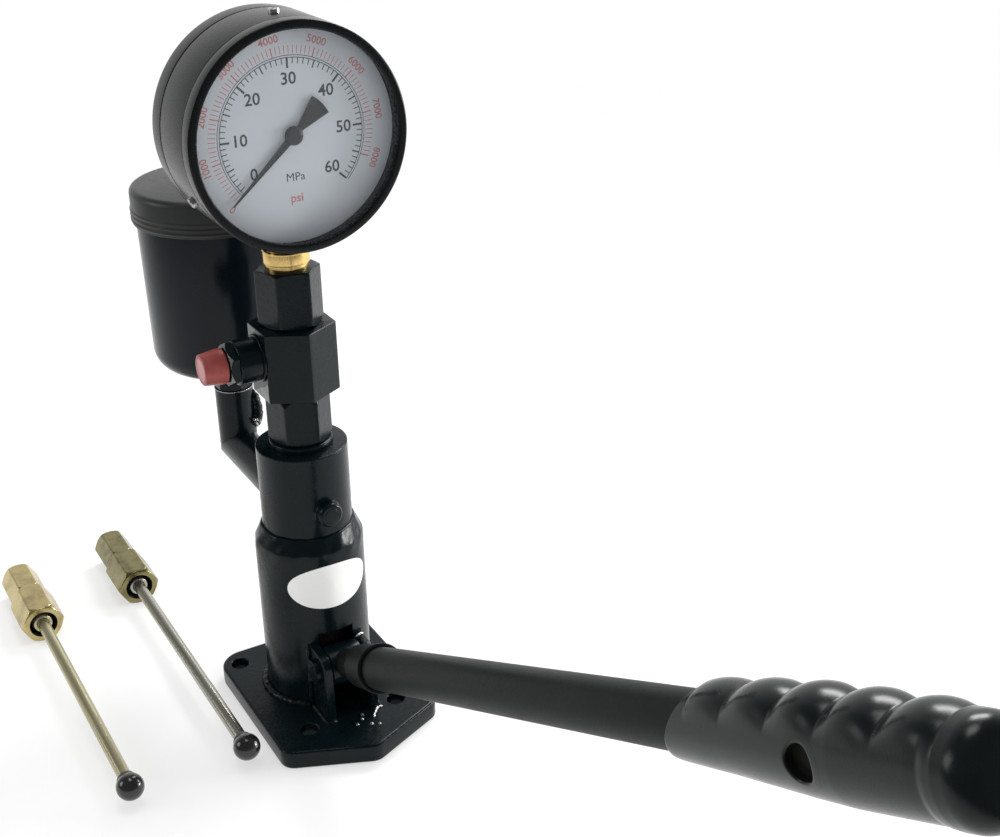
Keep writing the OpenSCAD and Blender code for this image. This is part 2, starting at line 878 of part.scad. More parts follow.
module gauge_case() {
    groove = 0.6;
    groove_x = case_groove_at - case_behind;
    color(black_paint)
        difference() {
            gauge_frame()
                rotate_extrude()
                    polygon([
                        [0, -case_behind],
                        [gauge_r - 2, -case_behind],
                        [gauge_r, -case_behind + 2],
                        [gauge_r, groove_x],
                        [gauge_r - groove, groove_x + 0.4],
                        [gauge_r - groove, groove_x + 0.8],
                        [gauge_r, groove_x + 1.2],
                        [gauge_r, case_front],
                        [seat_r, case_front],
                        [seat_r, dial_x],
                        [case_in_r, dial_x],
                        [case_in_r, case_wall - case_behind],
                        [0, case_wall - case_behind]
                    ]);
            bar(stem_neck_d + 2 * slide_fit, gauge_nut_top, block_top);
            for (a = [90, 210, 330])
                gauge_frame(case_screw_x)
                    rotate([0, 0, a])
                        rotate([0, 90, 0])
                            cylinder(d = case_screw_d / 2 + 2 * fit, h = gauge_d);
        }
}

module case_screws() {
    head_t = 2;
    color(bright_steel)
        for (a = [90, 210, 330])
            gauge_frame(case_screw_x)
                rotate([0, 0, a])
                    rotate([0, 90, 0])
                        difference() {
                            union() {
                                bar(case_screw_d / 2, case_in_r, gauge_r + head_t);
                                bar(case_screw_d, gauge_r, gauge_r + head_t);
                            }
                            translate([-0.4, -case_screw_d, gauge_r + head_t - 0.8])
                                cube([0.8, 2 * case_screw_d, over]);
                        }
}

module gauge_bezel() {
    edge = 2;
    color(black_paint)
        gauge_frame(case_front)
            rotate_extrude()
                polygon([
                    [seat_r, 0],
                    [gauge_r, 0],
                    [gauge_r, bezel_depth - edge],
                    [gauge_r - edge * 0.3, bezel_depth - edge * 0.3],
                    [gauge_r - edge, bezel_depth],
                    [window_r + 0.6, bezel_depth],
                    [window_r, bezel_depth - 0.6],
                    [window_r, bezel_depth - bezel_lip],
                    [seat_r, bezel_depth - bezel_lip]
                ]);
}

module gauge_glass() {
    color([0.85, 0.90, 0.92, 0.35])
        gauge_frame(glass_front - glass_t)
            cylinder(r = seat_r - slide_fit, h = glass_t);
}

module gauge_dial() {
    color(dial_white)
        gauge_frame(dial_x)
            ring(2 * (seat_r - slide_fit), arbor_d + 2 * slide_fit, dial_t);
}

module gauge_pointer() {
    hub_r = 3.6;
    t = 0.7;
    color(black_rubber)
        gauge_frame(pointer_x)
            rotate([0, 0, pointer_zero])
                difference() {
                    union() {
                        linear_extrude(t)
                            polygon([
                                [-pointer_tail, -5.4],
                                [-pointer_tail - 1, 0],
                                [-pointer_tail, 5.4],
                                [0, 1.6],
                                [pointer_l, 0.3],
                                [pointer_l, -0.3],
                                [0, -1.6]
                            ]);
                        cylinder(r = hub_r, h = 2);
                    }
                    translate([0, 0, -over])
                        cylinder(d = arbor_d + 2 * fit, h = 2);
                }
}

module gauge_movement() {
    color(brass) {
        translate([-plate_t / 2, -plate_w / 2, block_top])
            cube([plate_t, plate_w, gauge_z + plate_rise - block_top]);
        gauge_frame()
            cylinder(d = arbor_d, h = pointer_x + 0.9);
        gauge_frame(plate_t / 2)
            rotate([0, 0, 160])
                linear_extrude(plate_t / 2)
                    polygon(sector_l * [[-0.22, -0.17], [0.9, -0.44], [1, 0], [0.9, 0.44], [-0.22, 0.17]]);
    }
}

module bourdon_tube() {
    tube_r = gauge_r * bourdon_part;
    half_t = bourdon_t / 2;
    half_w = bourdon_w / 2;
    round_w = bourdon_t / 4;
    color(brass)
        difference() {
            gauge_frame()
                rotate([0, 0, -90 + 6])
                    rotate_extrude(angle = 250)
                        polygon([
                            [tube_r - half_t, -half_w + round_w],
                            [tube_r - half_t + round_w, -half_w],
                            [tube_r + half_t - round_w, -half_w],
                            [tube_r + half_t, -half_w + round_w],
                            [tube_r + half_t, half_w - round_w],
                            [tube_r + half_t - round_w, half_w],
                            [tube_r - half_t + round_w, half_w],
                            [tube_r - half_t, half_w - round_w]
                        ]);
            stem_block();
        }
}

module pivot_pin() {
    groove_at = cheek_out + fit;
    color(black_paint)
        translate([pivot_x, 0, pivot_z])
            rotate([-90, 0, 0])
                difference() {
                    union() {
                        bar(pin_head_d, -cheek_out - pin_head_t, -cheek_out);
                        bar(pin_d, -cheek_out - over, groove_at + clip_t + 2);
                    }
                    translate([0, 0, groove_at])
                        ring(pin_d + 2, pin_d - 1.5, clip_t + fit);
                }
}

module pin_clip() {
    color(dark_steel)
        translate([pivot_x, 0, pivot_z])
            rotate([-90, 0, 0])
                translate([0, 0, cheek_out + fit])
                    difference() {
                        ring(pin_d + 5, pin_d - 1.5 + 2 * fit, clip_t);
                        translate([0, -pin_d / 4, -over])
                            cube([pin_d, pin_d / 2, clip_t + 2 * over]);
                    }
}

// Hub, inner arm and nose in the plane of the arm, across the slot
module rocker_arm() {
    cylinder(d = hub_d, h = hub_w, center = true);
    translate([-arm_l, 0, 0])
        cylinder(d = nose_d, h = arm_w, center = true);
    linear_extrude(arm_w, center = true)
        polygon([
            [-arm_l, -nose_d / 2 + 1],
            [0, -hub_d / 2 + 1],
            [0, hub_d / 2 - 2],
            [-arm_l, nose_d / 4]
        ]);
}

module lever_head() {
    neck_r = neck_d / 2;
    socket_r = socket_d / 2;
    color(dark_steel)
        difference() {
            union() {
                translate([pivot_x, 0, pivot_z])
                    rotate([90, -arm_drop, 0])
                        rocker_arm();
                along_lever()
                    rotate_extrude()
                        polygon([
                            [0, 0],
                            [neck_r, 0],
                            [neck_r + 1, socket_start - 6],
                            [socket_r - 1.5, socket_start],
                            [socket_r - 0.5, socket_end - 3],
                            [socket_r, socket_end - 2],
                            [socket_r, socket_end - 0.6],
                            [socket_r - 0.6, socket_end],
                            [0, socket_end]
                        ]);
            }
            along_lever(socket_floor)
                cylinder(d = socket_bore_d, h = socket_end - socket_floor + over);
            lever_frame()
                rotate([90, 0, 0])
                    cylinder(d = pin_d + 2 * fit, h = hub_w + 2 * over, center = true);
        }
}

module lever_tube() {
    color(dark_steel)
        along_lever(socket_floor)
            ring(tube_d, tube_d - 2 * tube_wall, tube_end - socket_floor);
}

// Round body of the grip without ridges, axis +Z from the beginning of the grip
module grip_blank() {
    mid_r = grip_mid_d / 2;
    end_r = grip_end_d / 2;
    start_r = grip_start_d / 2;
    swell = [for (t = [0.15:0.17:1]) [start_r + (mid_r - start_r) * sin(90 * t), 0.64 * grip_l * t]];
    rotate_extrude()
        polygon(concat(
            [[0, 0], [start_r - 0.8, 0], [start_r, 1]],
            swell,
            [
                [mid_r - 0.5, grip_l * 0.82],
                [end_r * 0.96, grip_l - 1.4 * grip_bead_l],
                [end_r * 0.96, grip_l - 1.1 * grip_bead_l],
                [end_r, grip_l - grip_bead_l],
                [end_r, grip_l - 0.5 * grip_bead_l],
                [end_r * 0.92, grip_l - 0.25 * grip_bead_l],
                [end_r * 0.72, grip_l - 0.05 * grip_bead_l],
                [end_r * 0.58, grip_l],
                [0, grip_l]
            ]
        ));
}

module lever_grip() {
    ridge_r = 14.2;
    color(black_rubber)
        difference() {
            along_lever(grip_start)
                union() {
                    grip_blank();
                    for (i = [0:ridge_n - 1])
                        let (
                            at = ridge_first + i * ridge_pitch,
                            part = min(1, at / (0.64 * grip_l)),
                            body_r = grip_start_d / 2 + (grip_mid_d - grip_start_d) / 2 * sin(90 * part)
                        )
                        translate([ridge_r - body_r - ridge_out, 0, at])
                            sphere(r = ridge_r);
                }
            along_lever(grip_start - over)
                cylinder(d = tube_d + 2 * fit, h = tube_end - grip_start + over);
            lever_frame()
                translate([grip_start, 0, -grip_start_d / 2])
                    rotate([0, atan2(grip_slant, grip_start_d), 0])
                        translate([-grip_l, -grip_l / 2, -over])
                            cube(grip_l);
            lever_frame()
                translate([grip_start + grip_hole_at, 0, 0])
                    rotate([90, 0, 0])
                        cylinder(d = grip_hole_d, h = grip_mid_d);
        }
}

// Mitred elbow before it is cut to the column
module elbow_blank() {
    big = 200;
    r = elbow_d / 2;
    translate([-reservoir_x, 0, elbow_z]) {
        difference() {
            translate([-r, 0, 0])
                rotate([0, 90, 0])
                    cylinder(d = elbow_d, h = reservoir_x + r);
            rotate([0, -45, 0])
                translate([-big / 2, -big / 2, 0])
                    cube(big);
        }
        difference() {
            translate([0, 0, -r])
                cylinder(d = elbow_d, h = elbow_top - elbow_z + r);
            rotate([0, -45, 0])
                translate([-big / 2, -big / 2, -big])
                    cube(big);
        }
    }
}

module reservoir_elbow() {
    color(black_paint)
        difference() {
            elbow_blank();
            column_blank();
            translate([-reservoir_x, 0, elbow_z]) {
                rotate([0, 90, 0])
                    cylinder(d = elbow_bore_d, h = reservoir_x);
                sphere(d = elbow_bore_d);
                cylinder(d = elbow_bore_d, h = elbow_top);
            }
            translate([-reservoir_x, 0, 0])
                bar(stud_d + 2 * fit, stud_bottom - fit, elbow_top + over);
        }
}

module reservoir_nut() {
    color(black_paint)
        translate([-reservoir_x, 0, elbow_top])
            difference() {
                hex_bar(reservoir_nut_af, reservoir_nut_h);
                bar(stud_d + 2 * fit, -over, reservoir_nut_h + over);
            }
}

module reservoir_seals() {
    color(black_rubber)
        for (z = [cup_z - seal_t, cup_floor])
            translate([-reservoir_x, 0, z])
                ring(seal_d, stud_d + 2 * fit, seal_t);
}

module reservoir_stud() {
    color(bright_steel)
        translate([-reservoir_x, 0, stud_bottom])
            ring(stud_d, stud_d / 2, stud_top - stud_bottom);
}

module inner_nut() {
    color(bright_steel)
        translate([-reservoir_x, 0, nut_floor])
            difference() {
                hex_bar(reservoir_nut_af, inner_nut_h);
                bar(stud_d + 2 * fit, -over, inner_nut_h + over);
            }
}

module strainer() {
    wall = 0.8;
    color(brass)
        translate([-reservoir_x, 0, nut_floor])
            difference() {
                cylinder(d = strainer_in_d + 2 * wall, h = strainer_h);
                translate([0, 0, -over])
                    cylinder(d = strainer_in_d, h = strainer_h - wall + over);
            }
}

module reservoir_cup() {
    bottom_r = cup_bottom_d / 2;
    rim_r = cup_rim_d / 2;
    steps = 6;
    corner = [for (i = [0:steps])
        let (a = 90 * i / steps)
        [bottom_r - cup_corner_r * (1 - sin(a)), cup_corner_r * (1 - cos(a))]];
    inner_r = cup_corner_r - cup_wall;
    inner = [for (i = [steps:-1:0])
        let (a = 90 * i / steps)
        [bottom_r - cup_wall - inner_r * (1 - sin(a)), cup_wall + inner_r * (1 - cos(a))]];
    hole_r = stud_d / 2 + slide_fit;
    color(black_paint)
        translate([-reservoir_x, 0, cup_z])
            rotate_extrude()
                polygon(concat(
                    [[hole_r, 0]],
                    corner,
                    [[rim_r, cup_h], [rim_r - cup_wall, cup_h]],
                    inner,
                    [[hole_r, cup_wall]]
                ));
}

module reservoir_lid() {
    in_r = lid_in_d / 2;
    out_r = in_r + lid_wall;
    edge = 3;
    bead = 0.5;
    beads = [for (i = [0:2])
        let (z = 1.2 + 2.4 * i)
        each [[out_r, z], [out_r + bead, z + 0.6], [out_r, z + 1.2]]];
    color(black_paint)
        translate([-reservoir_x, 0, cup_top - lid_skirt])
            rotate_extrude()
                polygon(concat(
                    [[in_r, 0], [out_r, 0]],
                    beads,
                    [
                        [out_r, lid_skirt + lid_t - edge],
                        [out_r - edge * 0.3, lid_skirt + lid_t - edge * 0.3],
                        [out_r - edge, lid_skirt + lid_t],
                        [0, lid_skirt + lid_t],
                        [0, lid_skirt],
                        [in_r, lid_skirt]
                    ]
                ));
}

// Children's +Z runs along a pipe from its ball cap toward the nuts, the pipe lying on its front nut
module along_pipe(y, ball_x, at = 0) {
    translate([ball_x - at, -y, front_nut_af / 2])
        rotate([0, -90, 0])
            children();
}

// Pipe with a cone head at its far end, length from the ball cap to the end of the rear nut
module pipe_tube(run) {
    inside = 2;
    shoulder = run + rear_nut_at + rear_nut_l - mouth_depth;
    color(bright_steel)
        rotate_extrude()
            polygon([
                [pipe_bore_d / 2, -inside],
                [pipe_d / 2 - 0.5, -inside],
                [pipe_d / 2, -inside + 0.5],
                [pipe_d / 2, shoulder + slide_fit],
                [cone_d / 2, shoulder + slide_fit],
                [cone_d / 2, shoulder + 3],
                [pipe_d / 2 - 0.5, shoulder + 7],
                [pipe_bore_d / 2, shoulder + 7]
            ]);
}

// Hexagon union nut, its thread opening at +Z or, when flipped, at zero
module union_nut(af, l, mouth_d, flipped) {
    mouth_z = flipped ? -over : l - mouth_depth;
    color(olive_zinc)
        difference() {
            rotate([0, 0, 30])
                hex_bar(af, l);
            bar(pipe_hole_d, -over, l + over);
            translate([0, 0, mouth_z])
                cylinder(d = mouth_d, h = mouth_depth + over);
        }
}

// Loose sleeve round the pipe on the floor of the thread opening of the front nut
module nut_sleeve() {
    color(bright_steel)
        translate([0, 0, mouth_depth - sleeve_l])
            ring(sleeve_d, pipe_hole_d, sleeve_l);
}

module ball_cap() {
    color(black_rubber)
        difference() {
            sphere(d = ball_d);
            bar(pipe_d + 2 * fit + 0.2, -2 - fit, ball_d);
        }
}

module pipe_1_tube() {
    along_pipe(pipe_1_y, pipe_1_ball_x)
        pipe_tube(pipe_1_run);
}

module pipe_1_front_nut() {
    along_pipe(pipe_1_y, pipe_1_ball_x, pipe_1_run)
        union_nut(front_nut_af, front_nut_l, front_mouth_d, true);
}

module pipe_1_sleeve() {
    along_pipe(pipe_1_y, pipe_1_ball_x, pipe_1_run)
        nut_sleeve();
}

module pipe_1_rear_nut() {
    along_pipe(pipe_1_y, pipe_1_ball_x, pipe_1_run + rear_nut_at)
        union_nut(rear_nut_af, rear_nut_l, rear_mouth_d, false);
}

module pipe_1_ball() {
    along_pipe(pipe_1_y, pipe_1_ball_x)
        ball_cap();
}

module pipe_2_tube() {
    along_pipe(pipe_2_y, pipe_2_ball_x)
        pipe_tube(pipe_2_run);
}

module pipe_2_front_nut() {
    along_pipe(pipe_2_y, pipe_2_ball_x, pipe_2_run)
        union_nut(front_nut_af, front_nut_l, front_mouth_d, true);
}

module pipe_2_sleeve() {
    along_pipe(pipe_2_y, pipe_2_ball_x, pipe_2_run)
        nut_sleeve();
}

module pipe_2_rear_nut() {
    along_pipe(pipe_2_y, pipe_2_ball_x, pipe_2_run + rear_nut_at)
        union_nut(rear_nut_af, rear_nut_l, rear_mouth_d, false);
}

module pipe_2_ball() {
    along_pipe(pipe_2_y, pipe_2_ball_x)
        ball_cap();
}

base_plate();
column();
locating_screw();
barrel();
plunger();
tappet();
return_spring();
valve_seat();
delivery_valve();
valve_spring();
valve_washer();
valve_holder();
tee_block();
outlet_washer();
outlet_connector();
outlet_cap();
gauge_nut();
gauge_stem();
gauge_case();
gauge_bezel();
gauge_glass();
gauge_dial();
gauge_pointer();
gauge_movement();
bourdon_tube();
case_screws();
pivot_pin();
pin_clip();
lever_head();
lever_tube();
lever_grip();
reservoir_elbow();
reservoir_nut();
reservoir_seals();
reservoir_stud();
inner_nut();
strainer();
reservoir_cup();
reservoir_lid();
pipe_1_tube();
pipe_1_rear_nut();
pipe_1_front_nut();
pipe_1_sleeve();
pipe_1_ball();
pipe_2_tube();
pipe_2_rear_nut();
pipe_2_front_nut();
pipe_2_sleeve();
pipe_2_ball();
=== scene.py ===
"""Looks of the hand-lever injector tester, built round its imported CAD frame."""

import json
import logging
import math
from dataclasses import dataclass
from enum import Enum
from typing import Any, Sequence

import bpy
import numpy as np
from mathutils import Matrix, Vector
from mathutils.geometry import tessellate_polygon

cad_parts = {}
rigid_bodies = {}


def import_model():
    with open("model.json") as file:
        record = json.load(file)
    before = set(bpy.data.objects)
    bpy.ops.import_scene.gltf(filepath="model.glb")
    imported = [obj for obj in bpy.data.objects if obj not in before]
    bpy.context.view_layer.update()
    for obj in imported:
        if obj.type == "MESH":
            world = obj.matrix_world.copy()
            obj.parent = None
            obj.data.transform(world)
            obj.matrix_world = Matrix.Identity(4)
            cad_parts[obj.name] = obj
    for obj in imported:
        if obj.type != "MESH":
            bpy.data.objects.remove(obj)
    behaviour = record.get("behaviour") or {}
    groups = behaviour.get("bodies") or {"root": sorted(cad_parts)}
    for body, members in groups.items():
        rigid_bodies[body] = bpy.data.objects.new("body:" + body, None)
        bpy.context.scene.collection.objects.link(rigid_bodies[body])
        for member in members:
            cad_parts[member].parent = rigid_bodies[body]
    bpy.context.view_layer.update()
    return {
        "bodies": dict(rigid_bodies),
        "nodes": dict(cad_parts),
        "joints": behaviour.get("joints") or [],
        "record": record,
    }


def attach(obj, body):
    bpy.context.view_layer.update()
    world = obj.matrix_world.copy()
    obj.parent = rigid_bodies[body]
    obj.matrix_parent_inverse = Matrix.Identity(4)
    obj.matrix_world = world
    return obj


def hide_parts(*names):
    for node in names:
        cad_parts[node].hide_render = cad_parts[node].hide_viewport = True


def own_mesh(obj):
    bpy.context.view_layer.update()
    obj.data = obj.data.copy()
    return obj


LOG = logging.getLogger("injector_tester")
MM = 0.001
TAU = 2.0 * math.pi
THREAD_PITCH = 1.5
THREAD_DEPTH = 0.7
HEX_NORMALS = np.radians(30 + 60 * np.arange(6))
HEX_TURNED = 0.985
LETTER_CAP = 0.72
EDGE_SHARE = 0.49
Array = np.ndarray
Triple = tuple[float, float, float]
Colour = Triple
Numbers = Sequence[float]
Corners = Sequence[Sequence[float]]


class Look(Enum):
    """Finishes, named after what they cover."""

    BLACK_PAINT = "black_paint"
    GAUGE_PAINT = "gauge_paint"
    WELD = "weld"
    SPATTER = "spatter"
    WORN = "worn"
    LEVER_PAINT = "lever_paint"
    GRIP = "grip"
    CUP = "cup"
    LID = "lid"
    HOLLOW = "hollow"
    STEEL = "steel"
    SPRING = "spring"
    BRASS = "brass"
    ZINC = "zinc"
    DARK_ZINC = "dark_zinc"
    PIPE = "pipe"
    GOLD_PIPE = "gold_pipe"
    BALL = "ball"
    CAP = "cap"
    CAP_FACE = "cap_face"
    RUBBER = "rubber"
    DIAL = "dial"
    INK = "ink"
    RED_INK = "red_ink"
    POINTER = "pointer"
    LABEL = "label"
    GLASS = "glass"
    FLOOR = "floor"


# Shader values


class Value:
    """A shader socket that takes part in arithmetic.

    Args:
        tree: Node tree the socket belongs to.
        socket: Output socket, or None for a value that only makes nodes.
    """

    def __init__(self, tree: bpy.types.NodeTree, socket: bpy.types.NodeSocket | None = None) -> None:
        """Keep the tree and the socket."""
        self.tree = tree
        self.socket = socket

    def make(
        self, kind: str, inputs: dict[str | int, Any], output: str | int = 0, **settings: Any
    ) -> "Value":
        """Add a node of any kind.

        Args:
            kind: Node type name.
            inputs: Input name or index to a value or a constant.
            output: Name or index of the output to return.
            **settings: Properties of the node.

        Returns:
            The chosen output.
        """
        node = self.tree.nodes.new(kind)
        for name, setting in settings.items():
            setattr(node, name, setting)
        for key, item in inputs.items():
            if isinstance(item, Value):
                self.tree.links.new(item.socket, node.inputs[key])
            else:
                node.inputs[key].default_value = item
        return Value(self.tree, node.outputs[output])

    def _math(self, operation: str, first: Any, second: Any) -> "Value":
        """Math node of two terms."""
        return self.make("ShaderNodeMath", {0: first, 1: second}, operation=operation)

    def __add__(self, other: Any) -> "Value":
        """Sum."""
        return self._math("ADD", self, other)

    __radd__ = __add__

    def __sub__(self, other: Any) -> "Value":
        """Difference."""
        return self._math("SUBTRACT", self, other)

    def __rsub__(self, other: Any) -> "Value":
        """Difference, the other way round."""
        return self._math("SUBTRACT", other, self)

    def __mul__(self, other: Any) -> "Value":
        """Product."""
        return self._math("MULTIPLY", self, other)

    __rmul__ = __mul__


def ray_kinds(start: Value) -> list[Value]:
    """Whether a ray comes from the camera, a reflection or a see-through surface."""
    names = ("Is Camera Ray", "Is Glossy Ray", "Is Transmission Ray")
    return [start.make("ShaderNodeLightPath", {}, name) for name in names]


@dataclass(frozen=True)
class Finish:
    """Surface finish with fine variation.

    Attributes:
        colour: Main colour, linear.
        second: Colour of the stains or dust.
        stain: Share of the second colour where the stains are thickest.
        stain_scale: Stains per metre.
        rough: Mean roughness.
        rough_spread: Swing of the roughness.
        metallic: Metal share.
        coat: Clear coat weight.
        grain_scale: Bump grains per metre.
        grain: Bump strength.
        grain_depth: Bump depth in metres.
        specular: Reflection level.
        alpha: Opacity.
        stretch: Scale of the pattern along X, Y and Z.
    """

    colour: Colour
    second: Colour
    stain: float = 0.25
    stain_scale: float = 60.0
    rough: float = 0.35
    rough_spread: float = 0.12
    metallic: float = 0.0
    coat: float = 0.0
    grain_scale: float = 700.0
    grain: float = 0.15
    grain_depth: float = 0.0002
    specular: float = 0.5
    alpha: float = 1.0
    stretch: Triple = (1.0, 1.0, 1.0)


FINISHES: dict[Look, Finish] = {
    Look.BLACK_PAINT: Finish(
        (0.0015, 0.0052, 0.0066), (0.006, 0.0105, 0.012),
        stain=0.4, stain_scale=38.0, rough=0.25, rough_spread=0.14,
        grain_scale=420.0, grain=0.2, grain_depth=0.0004, specular=0.19,
    ),
    Look.GAUGE_PAINT: Finish(
        (0.003, 0.0042, 0.0046), (0.01, 0.0115, 0.012),
        stain=0.25, stain_scale=30.0, rough=0.27, rough_spread=0.1,
        grain_scale=900.0, grain=0.07, specular=0.22,
    ),
    Look.WELD: Finish(
        (0.002, 0.005, 0.006), (0.008, 0.012, 0.013),
        stain=0.4, stain_scale=160.0, rough=0.3, rough_spread=0.14,
        grain_scale=420.0, grain=0.35, grain_depth=0.0005, specular=0.22,
    ),
    # Bright bare metal of weld spatter; also a ring that is a painted highlight on the elbow's rim.
    Look.SPATTER: Finish(
        (0.42, 0.43, 0.43), (0.12, 0.12, 0.12),
        stain=0.5, stain_scale=300.0, rough=0.25, rough_spread=0.15,
        metallic=0.8, coat=0.2, grain_scale=900.0, grain=0.4,
    ),
    # Lighter bare metal on hex corners, also serving as a painted highlight there.
    Look.WORN: Finish(
        (0.2, 0.205, 0.205), (0.09, 0.092, 0.092),
        stain=0.6, stain_scale=200.0, rough=0.4, rough_spread=0.12,
        metallic=0.7, grain_scale=900.0, grain=0.2,
    ),
    Look.LEVER_PAINT: Finish(
        (0.005, 0.0065, 0.0067), (0.015, 0.017, 0.017),
        stain=0.35, stain_scale=45.0, rough=0.46, rough_spread=0.12,
        grain_scale=800.0, grain=0.12, specular=0.11,
    ),
    Look.GRIP: Finish(
        (0.0024, 0.005, 0.0052), (0.007, 0.01, 0.01),
        stain=0.3, stain_scale=50.0, rough=0.24, rough_spread=0.1,
        grain_scale=1300.0, grain=0.08, specular=0.28,
    ),
    Look.CUP: Finish(
        (0.0024, 0.0052, 0.0082), (0.005, 0.0085, 0.012),
        stain=0.25, stain_scale=26.0, rough=0.2, rough_spread=0.1,
        grain_scale=260.0, grain=0.04, specular=0.2,
    ),
    Look.LID: Finish(
        (0.02, 0.0215, 0.0215), (0.034, 0.036, 0.035),
        stain=0.3, stain_scale=40.0, rough=0.38, rough_spread=0.1,
        grain_scale=500.0, grain=0.06, specular=0.33,
    ),
    # Near-black, dull lining for the insides of nuts and the grip's recess: painted shade.
    Look.HOLLOW: Finish(
        (0.004, 0.004, 0.0035), (0.012, 0.011, 0.008),
        stain=0.4, stain_scale=200.0, rough=0.6, rough_spread=0.1,
        grain_scale=700.0, grain=0.1, specular=0.1,
    ),
    Look.STEEL: Finish(
        (0.5, 0.5, 0.49), (0.22, 0.21, 0.19),
        stain=0.4, stain_scale=110.0, rough=0.3, rough_spread=0.12,
        metallic=1.0, grain_scale=1500.0, grain=0.1,
    ),
    Look.SPRING: Finish(
        (0.16, 0.16, 0.17), (0.06, 0.05, 0.045),
        stain=0.4, stain_scale=150.0, rough=0.36, rough_spread=0.1,
        metallic=0.9, grain_scale=1500.0, grain=0.1,
    ),
    Look.BRASS: Finish(
        (0.72, 0.52, 0.2), (0.4, 0.26, 0.08),
        stain=0.45, stain_scale=150.0, rough=0.22, rough_spread=0.12,
        metallic=1.0, grain_scale=900.0, grain=0.12,
    ),
    Look.ZINC: Finish(
        (0.53, 0.43, 0.2), (0.2, 0.165, 0.085),
        stain=0.6, stain_scale=70.0, rough=0.25, rough_spread=0.14,
        metallic=0.9, grain_scale=800.0, grain=0.14,
    ),
    # Darker copy of the zinc plating for pipe 2's nuts: painted shade.
    Look.DARK_ZINC: Finish(
        (0.25, 0.222, 0.1), (0.06, 0.056, 0.028),
        stain=0.85, stain_scale=95.0, rough=0.25, rough_spread=0.14,
        metallic=0.9, grain_scale=800.0, grain=0.14,
    ),
    Look.PIPE: Finish(
        (0.42, 0.415, 0.355), (0.19, 0.185, 0.148),
        stain=0.6, stain_scale=300.0, rough=0.26, rough_spread=0.12,
        metallic=0.95, grain_scale=900.0, grain=0.05, stretch=(0.03, 1.0, 1.0),
    ),
    Look.GOLD_PIPE: Finish(
        (0.5, 0.46, 0.3), (0.27, 0.25, 0.14),
        stain=0.6, stain_scale=300.0, rough=0.28, rough_spread=0.12,
        metallic=0.85, grain_scale=900.0, grain=0.05, stretch=(0.03, 1.0, 1.0),
    ),
    Look.BALL: Finish(
        (0.01, 0.01, 0.01), (0.03, 0.03, 0.032),
        stain=0.3, stain_scale=140.0, rough=0.22, rough_spread=0.1,
        coat=0.3, grain_scale=240.0, grain=0.2, grain_depth=0.0004,
    ),
    Look.CAP: Finish(
        (0.26, 0.042, 0.036), (0.36, 0.1, 0.085),
        stain=0.4, stain_scale=120.0, rough=0.4, rough_spread=0.12,
        grain_scale=900.0, grain=0.12,
    ),
    # Paler red for the cap's end face than for its skirt: a painted highlight on that face.
    Look.CAP_FACE: Finish(
        (0.45, 0.19, 0.17), (0.5, 0.27, 0.25),
        stain=0.5, stain_scale=120.0, rough=0.42, rough_spread=0.1,
        grain_scale=900.0, grain=0.12,
    ),
    Look.RUBBER: Finish(
        (0.015, 0.015, 0.015), (0.04, 0.04, 0.04),
        stain=0.3, stain_scale=200.0, rough=0.6, rough_spread=0.1,
        grain_scale=1200.0, grain=0.1,
    ),
    # The dial's white is painted down to grey over the whole face: painted shade.
    Look.DIAL: Finish(
        (0.44, 0.47, 0.512), (0.39, 0.42, 0.464),
        stain=0.5, stain_scale=14.0, rough=0.5, rough_spread=0.05,
        grain_scale=1500.0, grain=0.02,
    ),
    Look.INK: Finish(
        (0.02, 0.022, 0.026), (0.05, 0.05, 0.055),
        stain=0.4, stain_scale=300.0, rough=0.5, rough_spread=0.05,
        grain_scale=1500.0, grain=0.02,
    ),
    Look.RED_INK: Finish(
        (0.4, 0.11, 0.1), (0.46, 0.24, 0.22),
        stain=0.6, stain_scale=300.0, rough=0.5, rough_spread=0.05,
        grain_scale=1500.0, grain=0.02,
    ),
    Look.POINTER: Finish(
        (0.012, 0.013, 0.014), (0.03, 0.03, 0.03),
        stain=0.3, stain_scale=200.0, rough=0.42, rough_spread=0.08,
        grain_scale=1500.0, grain=0.03, specular=0.2,
    ),
    Look.LABEL: Finish(
        (0.86, 0.86, 0.85), (0.7, 0.7, 0.68),
        stain=0.3, stain_scale=60.0, rough=0.32, rough_spread=0.08,
        coat=0.2, grain_scale=600.0, grain=0.04,
    ),
    Look.GLASS: Finish(
        (0.8, 0.86, 0.88), (0.7, 0.76, 0.78),
        stain=0.2, stain_scale=20.0, rough=0.04, rough_spread=0.03,
        grain_scale=300.0, grain=0.02, specular=0.6, alpha=0.035,
    ),
    Look.FLOOR: Finish(
        (0.95, 0.95, 0.95), (0.93, 0.93, 0.93),
        stain=0.3, stain_scale=3.0, rough=0.8, rough_spread=0.05,
        grain_scale=200.0, grain=0.02,
    ),
}


